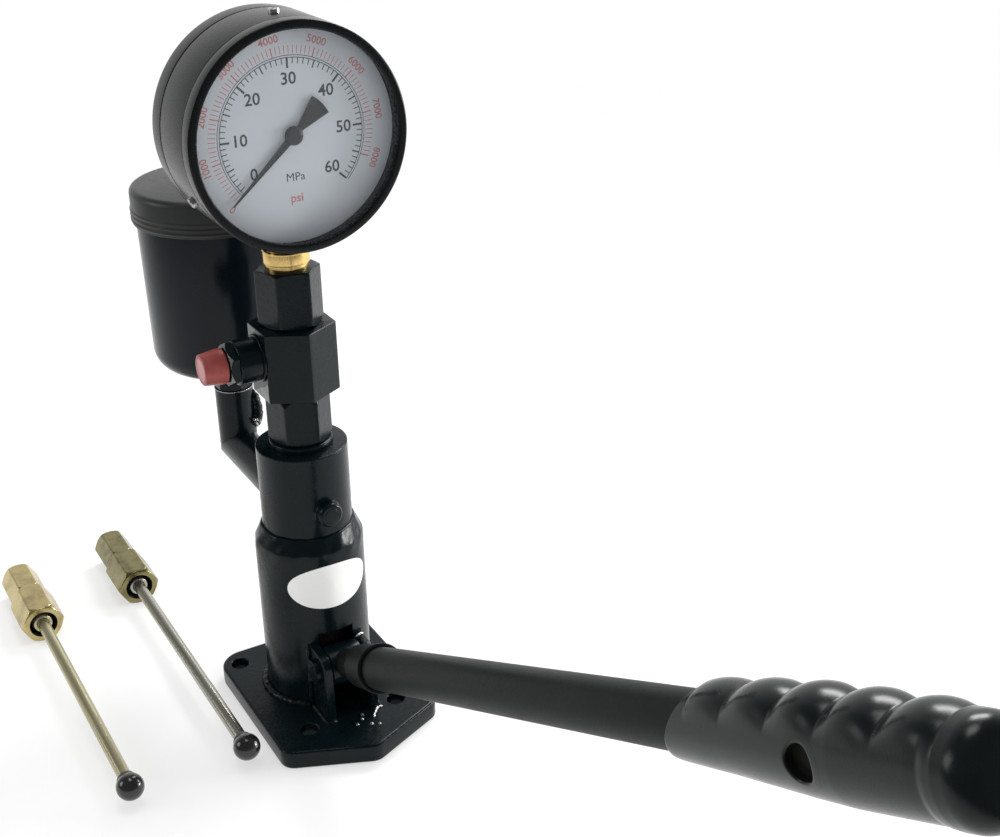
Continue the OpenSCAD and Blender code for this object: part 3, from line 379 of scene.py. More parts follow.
class Paintbox:
    """Makes each material once and hands it out by look."""

    STAIN_EDGE = (0.42, 0.72)
    ROUGH_SWING = 1.4
    COAT_ROUGH = 0.12

    def __init__(self) -> None:
        """Start without materials."""
        self._made: dict[Look, bpy.types.Material] = {}

    def get(self, look: Look) -> bpy.types.Material:
        """Material of a look.

        Args:
            look: Which finish.

        Returns:
            The material, made at the first call.
        """
        if look not in self._made:
            self._made[look] = self._build(look.value, FINISHES[look])
        return self._made[look]

    def _build(self, name: str, finish: Finish) -> bpy.types.Material:
        """Node material of one finish.

        Args:
            name: Material name.
            finish: Its numbers.

        Returns:
            The new material.
        """
        material = bpy.data.materials.new(name)
        material.use_nodes = True
        tree = material.node_tree
        shader = next(node for node in tree.nodes if node.type == "BSDF_PRINCIPLED")
        start = Value(tree)
        place = start.make("ShaderNodeTexCoord", {}, "Object")
        place = start.make(
            "ShaderNodeVectorMath", {0: place, 1: finish.stretch}, "Vector", operation="MULTIPLY"
        )
        broad = start.make(
            "ShaderNodeTexNoise",
            {"Vector": place, "Scale": finish.stain_scale, "Detail": 6.0, "Roughness": 0.62},
        )
        fine = start.make("ShaderNodeTexNoise", {"Vector": place, "Scale": finish.grain_scale, "Detail": 3.0})
        low, high = self.STAIN_EDGE
        thick = start.make(
            "ShaderNodeMapRange",
            {"Value": broad, "From Min": low, "From Max": high, "To Min": 0.0, "To Max": finish.stain},
            interpolation_type="SMOOTHSTEP",
        )
        colour = start.make(
            "ShaderNodeMix",
            {0: thick, 6: (*finish.colour, 1.0), 7: (*finish.second, 1.0)},
            2,
            data_type="RGBA",
        )
        swing = (broad + fine) * self.ROUGH_SWING - self.ROUGH_SWING
        rough = finish.rough + finish.rough_spread * swing
        bump = start.make(
            "ShaderNodeBump", {"Height": fine, "Strength": finish.grain, "Distance": finish.grain_depth}
        )
        for key, item in {"Base Color": colour, "Roughness": rough, "Normal": bump}.items():
            tree.links.new(item.socket, shader.inputs[key])
        constants = {
            "Metallic": finish.metallic,
            "Coat Weight": finish.coat,
            "Coat Roughness": self.COAT_ROUGH,
            "Specular IOR Level": finish.specular,
            "Alpha": finish.alpha,
        }
        for key, number in constants.items():
            shader.inputs[key].default_value = number
        return material


# Surfaces in millimetres


@dataclass
class Surface:
    """Points in millimetres and faces of several corner counts.

    Attributes:
        points: Array of shape (n, 3).
        faces: Index arrays, one per corner count.
    """

    points: Array
    faces: list[Array]

    @classmethod
    def grid(
        cls, points: Array, wrap_u: bool = False, wrap_v: bool = False, keep: Array | None = None
    ) -> "Surface":
        """Quads over a grid of points.

        Args:
            points: Array of shape (u, v, 3).
            wrap_u: Join the last row to the first.
            wrap_v: Join the last column to the first.
            keep: Optional mask of the quads that stay.

        Returns:
            The surface.
        """
        rows, columns = points.shape[:2]
        index = np.arange(rows * columns).reshape(rows, columns)
        if wrap_u:
            index = np.vstack([index, index[:1]])
        if wrap_v:
            index = np.hstack([index, index[:, :1]])
        quads = np.stack([index[:-1, :-1], index[:-1, 1:], index[1:, 1:], index[1:, :-1]], axis=-1)
        chosen = quads[keep] if keep is not None else quads.reshape(-1, 4)
        return cls(points.reshape(-1, 3), [chosen])

    @classmethod
    def joined(cls, *parts: "Surface") -> "Surface":
        """One surface of several.

        Args:
            *parts: Surfaces to put together.

        Returns:
            The sum.
        """
        starts = np.cumsum([0] + [len(part.points) for part in parts[:-1]])
        faces = [face + start for part, start in zip(parts, starts) for face in part.faces]
        return cls(np.vstack([part.points for part in parts]), faces)

    def moved(self, matrix: Array) -> "Surface":
        """Copy at a 4 by 4 placement."""
        return Surface(self.points @ matrix[:3, :3].T + matrix[:3, 3], self.faces)

    def to_mesh(self, name: str, sharp_deg: float) -> bpy.types.Mesh:
        """Blender mesh in metres, smooth but for sharp edges.

        Args:
            name: Mesh name.
            sharp_deg: Edges steeper than this stay sharp.

        Returns:
            The mesh.
        """
        faces = [row for face in self.faces for row in face.tolist()]
        mesh = bpy.data.meshes.new(name)
        mesh.from_pydata(np.round(self.points * MM, 7).tolist(), [], faces)
        mesh.validate()
        mesh.shade_smooth()
        mesh.set_sharp_from_angle(angle=math.radians(sharp_deg))
        return mesh


def add_object(name: str, data: bpy.types.ID) -> bpy.types.Object:
    """New object in the scene.

    Args:
        name: Its name.
        data: Mesh, curve, camera or light.

    Returns:
        The object.
    """
    thing = bpy.data.objects.new(name, data)
    bpy.context.scene.collection.objects.link(thing)
    return thing


def placement(origin: Numbers, x: Numbers, y: Numbers, z: Numbers) -> Array:
    """Placement from an origin and three axes.

    Args:
        origin: Where the local origin goes.
        x: Direction of local X.
        y: Direction of local Y.
        z: Direction of local Z.

    Returns:
        4 by 4 matrix.
    """
    matrix = np.eye(4)
    matrix[:3, 0], matrix[:3, 1], matrix[:3, 2], matrix[:3, 3] = x, y, z, origin
    return matrix


def at(x: float = 0.0, y: float = 0.0, z: float = 0.0) -> Array:
    """Placement by a shift only, a 4 by 4 matrix."""
    return placement((x, y, z), (1, 0, 0), (0, 1, 0), (0, 0, 1))


def turned(degrees: float, z: float = 0.0) -> Array:
    """Placement on the Z axis with a turn about it, a 4 by 4 matrix."""
    cos, sin = math.cos(math.radians(degrees)), math.sin(math.radians(degrees))
    return placement((0, 0, z), (cos, sin, 0), (-sin, cos, 0), (0, 0, 1))


def upright(origin: Numbers) -> Array:
    """Placement whose XY plane stands up and whose Z axis points along -Y."""
    return placement(origin, (1, 0, 0), (0, 0, 1), (0, -1, 0))


def ring_points(radius: Array | float, angle: Array | float, level: Array | float) -> Array:
    """Points from distances to the Z axis, angles about it and heights."""
    return np.stack(np.broadcast_arrays(radius * np.cos(angle), radius * np.sin(angle), level), axis=-1)


def filleted(corners: Corners, radii: Numbers, steps: int = 6) -> Array:
    """Polyline with rounded corners.

    Args:
        corners: Points of the polyline.
        radii: Radius at each point, 0 keeps it.
        steps: Points on each rounding.

    Returns:
        Array of shape (n, 2).
    """
    points = np.asarray(corners, float)
    out: list[Array] = []
    last = len(points) - 1
    for i, (point, radius) in enumerate(zip(points, radii)):
        if radius <= 0 or i in (0, last):
            out.append(point[None])
            continue
        out.append(corner_arc(points[i - 1], point, points[i + 1], radius, steps))
    return np.vstack(out)


def corner_arc(before: Array, corner: Array, after: Array, radius: float, steps: int) -> Array:
    """Arc that rounds one corner.

    Args:
        before: Point before the corner.
        corner: The corner.
        after: Point after the corner.
        radius: Radius of the rounding.
        steps: Spans of the arc.

    Returns:
        Points of the arc, shape (steps + 1, 2).
    """
    to_before = (before - corner) / np.linalg.norm(before - corner)
    to_after = (after - corner) / np.linalg.norm(after - corner)
    half = math.acos(float(np.clip(to_before @ to_after, -1, 1))) / 2
    shorter = min(np.linalg.norm(before - corner), np.linalg.norm(after - corner))
    back = min(radius / math.tan(half), EDGE_SHARE * shorter)
    radius = back * math.tan(half)
    middle = corner + (to_before + to_after) / np.linalg.norm(to_before + to_after) * radius / math.sin(half)
    first, final = corner + to_before * back - middle, corner + to_after * back - middle
    turn = math.atan2(first[0] * final[1] - first[1] * final[0], first @ final)
    angle = np.linspace(0, turn, steps + 1)
    cos, sin = np.cos(angle), np.sin(angle)
    return middle + np.stack([first[0] * cos - first[1] * sin, first[0] * sin + first[1] * cos], axis=1)


def lathe(profile: Array, segments: int = 96) -> Surface:
    """Surface of revolution about Z.

    Args:
        profile: Radius and height pairs, shape (n, 2).
        segments: Steps round the axis.

    Returns:
        The surface, with flat caps where the profile ends on the axis.
    """
    profile = np.asarray(profile, float)
    on_axis = [profile[0, 0] < 1e-6, profile[-1, 0] < 1e-6]
    rings = profile[int(on_axis[0]) : len(profile) - int(on_axis[1])]
    angle = np.linspace(0, TAU, segments, endpoint=False)
    surface = Surface.grid(ring_points(rings[:, :1], angle, rings[:, 1:]), wrap_v=True)
    count = len(rings) * segments
    if on_axis[0]:
        surface.faces.append(np.arange(segments)[::-1][None])
    if on_axis[1]:
        surface.faces.append(np.arange(count - segments, count)[None])
    return surface


def closed_lathe(corners: Corners, radii: Numbers, segments: int = 96, steps: int = 5) -> Surface:
    """Surface of revolution of a profile whose corners are rounded."""
    return lathe(filleted(corners, radii, steps), segments)


def ring_lathe(corners: Corners, radii: Numbers, segments: int = 96, steps: int = 5) -> Surface:
    """Closed ring of revolution, every corner rounded.

    Args:
        corners: Radius and height pairs, anticlockwise.
        radii: Rounding at each pair.
        segments: Steps round the axis.
        steps: Spans of each rounding.

    Returns:
        The surface.
    """
    section = rounded_outline(corners, radii, steps)
    angle = np.linspace(0, TAU, segments, endpoint=False)
    return Surface.grid(ring_points(section[:, :1], angle, section[:, 1:]), wrap_u=True, wrap_v=True)


def rounded_outline(corners: Corners, radii: Numbers, steps: int = 10) -> Array:
    """Closed outline with rounded corners.

    Args:
        corners: Points, anticlockwise.
        radii: Radius at each point.
        steps: Spans on each rounding.

    Returns:
        Array of shape (n, 2).
    """
    points = np.asarray(corners, float)
    out: list[Array] = []
    for before, point, after, radius in zip(np.roll(points, 1, 0), points, np.roll(points, -1, 0), radii):
        out.append(corner_arc(before, point, after, radius, steps) if radius > 0 else point[None])
    return np.vstack(out)


def outline_normals(outline: Array) -> Array:
    """Outward unit normals of an anticlockwise outline.

    Args:
        outline: Points of shape (n, 2).

    Returns:
        Normals of shape (n, 2).
    """
    along = np.roll(outline, -1, axis=0) - np.roll(outline, 1, axis=0)
    normal = np.stack([along[:, 1], -along[:, 0]], axis=1)
    return normal / np.maximum(np.linalg.norm(normal, axis=1, keepdims=True), 1e-9)


def rounded_prism(
    outline: Array, low: float, high: float, edge: float, holes: Sequence[Array] = ()
) -> Surface:
    """Plate with a rounded rim and optional holes.

    Args:
        outline: Anticlockwise outline, shape (n, 2).
        low: Lower height.
        high: Upper height.
        edge: Radius of the rim.
        holes: Anticlockwise hole outlines.

    Returns:
        The closed plate.
    """
    angle = np.linspace(0, math.pi / 2, 5)
    inset = np.concatenate([edge * (1 - np.sin(angle)), edge * (1 - np.cos(angle))])
    height = np.concatenate([low + edge * (1 - np.cos(angle)), high - edge * (1 - np.sin(angle))])
    normal = outline_normals(outline)
    rings = outline[None] - normal[None] * inset[:, None, None]
    points = np.concatenate([rings, np.broadcast_to(height[:, None, None], (*rings.shape[:2], 1))], axis=2)
    parts = [Surface.grid(points, wrap_v=True)]
    lip = min(edge, 0.6)
    for hole in holes:
        out = outline_normals(hole)
        grow = np.array([lip, 0.3 * lip, 0.0, 0.0, 0.3 * lip, lip])
        level = np.array([high, high - 0.3 * lip, high - lip, low + lip, low + 0.3 * lip, low])
        wall = hole[None] + out[None] * grow[:, None, None]
        points = np.concatenate([wall, np.broadcast_to(level[:, None, None], (*wall.shape[:2], 1))], axis=2)
        parts.append(Surface.grid(points, wrap_v=True))
    rim = outline - normal * edge
    wide = [hole + outline_normals(hole) * lip for hole in holes]
    parts += [flat_cap(rim, wide, low, False), flat_cap(rim, wide, high, True)]
    return Surface.joined(*parts)


def flat_cap(outline: Array, holes: Sequence[Array], height: float, up: bool) -> Surface:
    """Flat face with holes.

    Args:
        outline: Outer outline.
        holes: Hole outlines.
        height: Where it lies along Z.
        up: Whether it faces +Z.

    Returns:
        The triangulated face.
    """
    loops = [outline, *[hole[::-1] for hole in holes]]
    triangles = np.array(tessellate_polygon([[Vector((*point, 0.0)) for point in loop] for loop in loops]))
    points = np.vstack(loops)
    corner = points[triangles]
    first, second = corner[:, 1] - corner[:, 0], corner[:, 2] - corner[:, 0]
    area = first[:, 0] * second[:, 1] - first[:, 1] * second[:, 0]
    wrong = (area > 0) != up
    triangles[wrong] = triangles[wrong][:, ::-1]
    return Surface(np.column_stack([points, np.full(len(points), height)]), [triangles])


def circle(radius: float, centre: Numbers = (0.0, 0.0), steps: int = 40) -> Array:
    """Points of a circle, shape (steps, 2)."""
    angle = np.linspace(0, TAU, steps, endpoint=False)
    return np.stack([centre[0] + radius * np.cos(angle), centre[1] + radius * np.sin(angle)], axis=1)


@dataclass(frozen=True)
class HexSize:
    """Hexagon bar, a corner along local X.

    Attributes:
        flats: Width across flats.
        length: Length along Z.
        low_drop: Height of the turned corners at the lower end, 0 for none.
        high_drop: Height of the turned corners at the upper end, 0 for none.
        low_bore: Radius left open at the lower end.
        high_bore: Radius left open at the upper end.
        crisp: How sharp the edges are.
    """

    flats: float
    length: float
    low_drop: float = 1.3
    high_drop: float = 1.3
    low_bore: float = 0.0
    high_bore: float = 0.0
    crisp: float = 90.0


def turned_corner(flats: float) -> tuple[float, float]:
    """Radius where the turned end of a hexagon begins, and how far its corners reach beyond."""
    inside = HEX_TURNED * (flats / 2)
    return inside, flats / 2 / math.cos(math.radians(30)) - inside


def hex_bar(size: HexSize, around: int = 192) -> Surface:
    """Hexagon bar with soft edges and turned ends.

    Args:
        size: Its sizes.
        around: Steps round the axis.

    Returns:
        The surface.
    """
    half, soft = size.flats / 2, 0.4
    inside, beyond = turned_corner(size.flats)
    zone = 1.15 * max(size.low_drop, size.high_drop, 2 * soft)
    dense = zone * np.linspace(0, 1, 16) ** 1.5
    middle = np.linspace(zone, size.length - zone, 6)[1:-1]
    height = np.concatenate([dense, middle, size.length - dense[::-1]])
    angle = np.linspace(0, TAU, around, endpoint=False)
    facing = np.maximum(np.cos(angle[:, None] - HEX_NORMALS), 0.0) / half
    total = np.repeat((facing**size.crisp).sum(axis=1)[None], len(height), axis=0)
    for distance, drop in ((height, size.low_drop), (size.length - height, size.high_drop)):
        if drop > 0:
            total += (inside + beyond * distance[:, None] / drop) ** -size.crisp
    radius = total ** (-1 / size.crisp)
    depth = np.clip(np.minimum(height, size.length - height) / soft, 0, 1)
    radius -= soft * (1 - np.sqrt(1 - (1 - depth[:, None]) ** 2))
    bores = [np.full((1, around), max(bore, 0.05)) for bore in (size.low_bore, size.high_bore)]
    levels = np.concatenate([[0.0], height, [size.length]])
    radius = np.vstack([bores[0], radius, bores[1]])
    return Surface.grid(ring_points(radius, angle, levels[:, None]), wrap_v=True)


def hex_corners(size: HexSize, around: int = 192) -> Surface:
    """Lighter facets on the turned corners at the upper end of a hexagon bar: worn bare metal and a painted
    highlight.

    Args:
        size: Sizes of the bar.
        around: Steps round the axis.

    Returns:
        Six thin facets.
    """
    half, lift, margin = size.flats / 2, 0.03, 0.05
    inside, beyond = turned_corner(size.flats)
    share = np.linspace(1.0, 0.0, 12)
    angle = np.linspace(0, TAU, around, endpoint=False)
    flat = half / np.cos(angle[:, None] - HEX_NORMALS).max(axis=1)
    cone = (inside + beyond * share)[:, None]
    points = ring_points(cone + lift, angle, (size.length - size.high_drop * share)[:, None])
    return Surface.grid(points, wrap_v=True, keep=(cone < flat - margin)[:-1])


def swept(path: Array, section_radius: Array, sides: int = 12, closed: bool = False) -> Surface:
    """Round tube along a path.

    Args:
        path: Points of shape (n, 3).
        section_radius: Radius at each point and side, shape (n,) or (n, sides).
        sides: Steps round the section.
        closed: Join the end to the beginning.

    Returns:
        The tube, with capped ends when open.
    """
    along = np.gradient(path, axis=0)
    if closed:
        along = np.roll(path, -1, axis=0) - np.roll(path, 1, axis=0)
    along /= np.linalg.norm(along, axis=1, keepdims=True)
    reference = np.eye(3)[np.abs(along).mean(axis=0).argmin()]
    side = np.cross(along, reference)
    side /= np.linalg.norm(side, axis=1, keepdims=True)
    up = np.cross(side, along)
    angle = np.linspace(0, TAU, sides, endpoint=False)
    radius = np.asarray(section_radius, float)
    radius = radius[:, None] if radius.ndim == 1 else radius
    offset = side[:, None] * np.cos(angle)[None, :, None] + up[:, None] * np.sin(angle)[None, :, None]
    surface = Surface.grid(path[:, None] + offset * radius[..., None], wrap_u=closed, wrap_v=True)
    if not closed:
        count = len(path) * sides
        surface.faces += [np.arange(sides)[::-1][None], np.arange(count - sides, count)[None]]
    return surface


def weld_bead(path: Array, radius: float, seed: int, closed: bool = False) -> Surface:
    """Lumpy weld bead along a path.

    Args:
        path: Points of shape (n, 3).
        radius: Mean radius of the bead.
        seed: Seed of its lumps.
        closed: Whether the path is a loop.

    Returns:
        The bead.
    """
    rng = np.random.default_rng(seed)
    count, sides = len(path), 10
    step = np.linalg.norm(np.gradient(path, axis=0), axis=1)
    run = np.cumsum(step)
    ripple = 0.08 * np.abs(np.sin(run / 1.7 + rng.uniform(0, TAU)))
    ripple += 0.1 * np.sin(run / 5.3 + rng.uniform(0, TAU))
    lump = rng.normal(0, 0.06, (count, sides))
    lump = (lump + np.roll(lump, 1, 0) + np.roll(lump, -1, 0) + np.roll(lump, 1, 1)) / 2.0
    size = radius * (0.92 + ripple[:, None] + lump)
    if not closed:
        size *= np.sqrt(np.clip(np.minimum(run - run[0], run[-1] - run) / (2 * radius), 0.05, 1))[:, None]
    return swept(path, size, sides, closed)


def weld_drop(grow: float, segments: int) -> Surface:
    """Small drop of weld metal.

    Args:
        grow: How much it is larger than the smallest drop.
        segments: Steps round the axis.

    Returns:
        The drop, flat underneath.
    """
    low, wide, high = -0.5 - grow, 1.0 + grow, 0.8 + grow
    corners = [(0, low), (wide - 0.2, low), (wide, 0.3), (wide - 0.6, high), (0, high)]
    return closed_lathe(corners, [0, 0.3, 0.3, 0.2, 0], segments, 2)


def scattered(rng: np.random.Generator, spans: Corners, count: int) -> Array:
    """Points spread at random over spans along X, Y and Z."""
    return np.column_stack([rng.uniform(*span, count) for span in spans])


def thread_wave(run: Array, angle: Array) -> Array:
    """Flanks of a thread, 0 in the middle of each turn and 1 where turns meet."""
    return np.abs(2 * ((run / THREAD_PITCH - angle / TAU) % 1.0) - 1)


def text_surface(words: str, height: float, bold: float = 0.0) -> Surface:
    """Flat letters centred on the origin.

    Args:
        words: What is written.
        height: Size of the letters in millimetres.
        bold: How far the strokes grow on each side.

    Returns:
        The letters in the XY plane.
    """
    curve = bpy.data.curves.new("letters", "FONT")
    curve.body = words
    curve.size = height / LETTER_CAP
    curve.align_x = "CENTER"
    curve.align_y = "CENTER"
    curve.resolution_u = 3
    curve.offset = bold
    carrier = add_object("letters", curve)
    bpy.context.view_layer.update()
    mesh = bpy.data.meshes.new_from_object(carrier.evaluated_get(bpy.context.evaluated_depsgraph_get()))
    mesh.calc_loop_triangles()
    points = np.zeros(len(mesh.vertices) * 3)
    mesh.vertices.foreach_get("co", points)
    triangles = np.zeros(len(mesh.loop_triangles) * 3, int)
    mesh.loop_triangles.foreach_get("vertices", triangles)
    bpy.data.objects.remove(carrier)
    bpy.data.curves.remove(curve)
    bpy.data.meshes.remove(mesh)
    return Surface(points.reshape(-1, 3), [triangles.reshape(-1, 3)])


# The assembly


class Bench:
    """Puts finished pieces on the CAD bodies."""

    def __init__(self, frame: dict[str, Any]) -> None:
        """Read bodies and slots from the record.
        """
        self.nodes: dict[str, bpy.types.Object] = frame["nodes"]
        self.bodies: dict[str, list[str]] = frame["record"]["behaviour"]["bodies"]
        self.slots = {item["node"]: item["material_slot"] for item in frame["record"]["subparts"]}
        self.paints = Paintbox()

    def body_of(self, node: str) -> str:
        """Body that a CAD node belongs to."""
        return next(body for body, members in self.bodies.items() if node in members)

    def place(
        self,
        name: str,
        surface: Surface,
        look: Look,
        node: str,
        stands_for: bool = False,
        sharp: float = 35.0,
    ) -> bpy.types.Object:
        """Add a piece that moves with a CAD node.

        Args:
            name: Object name.
            surface: Its shape in the shared frame.
            look: Its finish.
            node: CAD node whose body it takes.
            stands_for: Whether it is shown in place of that node.
            sharp: Edges steeper than this stay sharp.

        Returns:
            The object.
        """
        mesh = surface.to_mesh(name, sharp)
        mesh.materials.append(self.paints.get(look))
        piece = add_object(name, mesh)
        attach(piece, self.body_of(node))
        if stands_for:
            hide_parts(node)
        LOG.info("piece %s", name)
        return piece

    def repaint(self, look: Look, *names: str) -> None:
        """Give CAD nodes that stay in view a finish.

        Args:
            look: The finish.
            *names: Node names.
        """
        for name in names:
            mesh = self.nodes[name].data
            mesh.materials.clear()
            mesh.materials.append(self.paints.get(look))


@dataclass(frozen=True)
class ColumnSize:
    """Plate and column.

    Attributes:
        plate: Thickness of the plate.
        lower: Radius of the lower column.
        upper: Radius of the upper column.
        shoulder: Height where the shoulder begins.
        shoulder_rise: Height of the shoulder.
        top: Height of the column.
        bore: Radius of the tappet bore.
        slot: Half width of the lever slot.
        slot_top: Height of the slot.
        cheek: Thickness of a cheek.
        cheek_front: Distance of the front of the cheeks from the axis.
        cheek_top: Height of the cheeks at the column.
        pin: Radius of the hole for the pivot pin.
        branch: Radius of the weld round the branch to the reservoir.
        branch_at: Height of the branch.
        label_at: Height of the label.
        label_arc: Half the angle that the label covers, degrees.
        label_rise: Half the height of the label.
        screw_at: Height of the locating screw.
        screw_turn: Direction of the locating screw, degrees.
    """

    plate: float = 10.0
    lower: float = 27.0
    upper: float = 22.3
    shoulder: float = 93.0
    shoulder_rise: float = 11.5
    top: float = 147.0
    bore: float = 18.0
    slot: float = 9.4
    slot_top: float = 52.5
    cheek: float = 4.6
    cheek_front: float = 42.0
    cheek_top: float = 47.0
    pin: float = 4.0
    branch: float = 10.6
    branch_at: float = 107.0
    label_at: float = 78.7
    label_arc: float = 48.8
    label_rise: float = 12.1
    screw_at: float = 117.5
    screw_turn: float = 4.0


class Column:
    """Flange plate, column, cheeks, welds and the oval label.

    Args:
        bench: Where pieces go.
        size: Sizes.
    """

    def __init__(self, bench: Bench, size: ColumnSize = ColumnSize()) -> None:
        """Keep the bench and sizes."""
        self.bench = bench
        self.size = size

    def radius(self, height: Array) -> Array:
        """Outer radius of the column.

        Args:
            height: Heights above the floor.

        Returns:
            Radii.
        """
        size = self.size
        share = np.clip((np.asarray(height, float) - size.shoulder) / size.shoulder_rise, 0, 1)
        cone = np.array([0.35, 0.97])
        straight = np.interp(share, cone, np.sqrt(1 - cone**2))
        bulge = np.where((share > cone[0]) & (share < cone[1]), straight, np.sqrt(1 - share**2))
        return size.upper + (size.lower - size.upper) * bulge

    def build(self) -> None:
        """Make every piece of the column."""
        self._plate()
        self._shell()
        self._welds()
        self._label()
        self._screw()

    def _plate(self) -> None:
        """Pointed flange plate with four bolt holes."""
        corners = [(-42.0, -42.5), (52.0, -42.5), (70.3, 0.0), (52.0, 42.5), (-42.0, 42.5)]
        outline = rounded_outline(corners, [13.0, 8.0, 8.0, 8.0, 13.0], 12)
        holes = [circle(4.5, (x, side * y)) for x, y in ((-30.4, 33.2), (40.4, 24.0)) for side in (-1, 1)]
        plate = rounded_prism(outline, 0.0, self.size.plate, 1.3, holes)
        self.bench.place("plate", plate, Look.BLACK_PAINT, "base_plate", True, 50.0)

    def _slot_angles(self, radius: float, across: int, rest: int) -> Array:
        """Angles round a wall that the lever slot cuts.

        Args:
            radius: Radius of the wall.
            across: Steps over the slot.
            rest: Points from one edge of the slot round to the other.

        Returns:
            Angles, those over the slot first.
        """
        edge = math.asin(self.size.slot / radius)
        over, beside = np.linspace(-edge, edge, across + 1), np.linspace(edge, TAU - edge, rest)
        return np.concatenate([over, beside[1:-1]])

    @staticmethod
    def _open_wall(points: Array, rows: int, columns: int) -> Surface:
        """Wall round the axis that is open at the slot.

        Args:
            points: Rows of points round the axis.
            rows: Rows of quads left out.
            columns: Columns of quads left out.

        Returns:
            The wall.
        """
        keep = np.ones((len(points) - 1, points.shape[1]), bool)
        keep[:rows, :columns] = False
        return Surface.grid(points, wrap_v=True, keep=keep)

    def _shell(self) -> None:
        """Cast column, open toward the lever."""
        size, top = self.size, self.size.top
        lip = [(size.upper, top - 1.0), (size.upper, top), (15.0, top), (14.2, top - 0.8), (14.2, top - 6.0)]
        rim = closed_lathe(lip, [0, 0.9, 0, 0, 0], 160, 6)
        below, above = np.linspace(size.plate, size.slot_top, 8), np.linspace(size.slot_top, 84.0, 5)[1:]
        level = np.concatenate([below, above])[:, None]
        bore = self._open_wall(ring_points(size.bore, self._slot_angles(size.bore, 6, 60), level), 7, 6)
        shell = Surface.joined(self._outer_wall(), rim, bore, *self._slot_faces(), self._cheeks())
        self.bench.place("column_shell", shell, Look.BLACK_PAINT, "column", True, 40.0)

    def _outer_wall(self) -> Surface:
        """Outside of the column, uneven about the shoulder.

        Returns:
            The wall.
        """
        size = self.size
        ease = np.sin(np.linspace(0, math.pi / 2, 22))[1:]
        rise = np.concatenate(
            [
                np.linspace(size.plate, size.slot_top, 24),
                np.linspace(size.slot_top, size.shoulder, 24)[1:],
                size.shoulder + size.shoulder_rise * ease,
                np.linspace(size.shoulder + size.shoulder_rise, size.top - 1.0, 24)[1:],
            ]
        )[:, None]
        angle = self._slot_angles(size.lower, 12, 160)
        first, second = np.random.default_rng(5).uniform(0, TAU, 2)
        waves = np.sin(9 * angle + first + rise / 4) + np.sin(17 * angle + second - rise / 2.2)
        near = np.exp(-(((rise - size.shoulder - 6) / 8) ** 2))
        return self._open_wall(ring_points(self.radius(rise) + 0.15 * waves * near, angle, rise), 23, 12)

    def _slot_faces(self) -> list[Surface]:
        """Cut faces of the slot.

        Returns:
            Both sides and the roof.
        """
        size = self.size
        depth = [math.sqrt(radius**2 - size.slot**2) for radius in (size.bore, size.lower)]
        levels = (size.plate, size.slot_top)
        faces = [np.array([[(x, y, z) for x in depth] for z in levels]) for y in (-size.slot, size.slot)]
        across = np.linspace(-size.slot, size.slot, 13)
        edges = [
            np.column_stack([np.sqrt(radius**2 - across**2), across, np.full(13, size.slot_top)])
            for radius in (size.bore, size.lower)
        ]
        return [Surface.grid(points) for points in (*faces, np.stack(edges))]

    def _cheeks(self) -> Surface:
        """Plates beside the lever, with the hole of its pin.

        Returns:
            Both cheeks.
        """
        size = self.size
        low, front, top = size.plate, size.cheek_front, size.cheek_top
        corners = [(14.0, low), (front, low), (front, top - 1.0), (14.0, top)]
        outline = rounded_outline(corners, [0, 0.5, 7.0, 0], 8)
        cheek = rounded_prism(outline, 0.0, size.cheek, 0.9, [circle(size.pin, Lever.PIVOT[::2], 32)])
        places = (-size.slot, size.slot + size.cheek)
        return Surface.joined(*[cheek.moved(upright((0, y, 0))) for y in places])

    def _welds(self) -> None:
        """Beads round the foot of the column, along the cheeks and round the branch."""
        size = self.size
        out, ring = size.slot + size.cheek, size.lower + 1.0
        start = math.asin(out / ring)
        path = ring_points(ring, np.linspace(start, TAU - start, 260), size.plate + 0.6)
        beads = [weld_bead(path, 2.1, 1)]
        low, front, inner = size.plate, size.cheek_front, math.sqrt(size.lower**2 - out**2)
        lines = [
            ((inner, out + 0.4, low + 0.4), (front + 0.5, out + 0.4, low + 0.4), 40, 1.7),
            ((inner + 0.4, out + 0.3, low), (inner + 0.4, out + 0.3, size.cheek_top - 0.5), 60, 1.5),
            ((front + 0.3, size.slot, low + 0.3), (front + 0.3, out, low + 0.3), 14, 1.6),
        ]
        for side, seed in ((-1, 2), (1, 3)):
            for order, (first, last, count, radius) in enumerate(lines):
                path = np.linspace(first, last, count) * (1, side, 1)
                beads.append(weld_bead(path, radius, seed + 10 * order))
        turn = np.linspace(0, TAU, 140, endpoint=False)
        y, z = size.branch * np.sin(turn), size.branch_at + size.branch * np.cos(turn)
        saddle = np.column_stack([-np.sqrt(self.radius(z) ** 2 - y**2), y, z])
        beads.append(weld_bead(saddle, 1.9, 7, True))
        self.bench.place("weld_beads", Surface.joined(*beads), Look.WELD, "column", sharp=60.0)
        self._spatter()

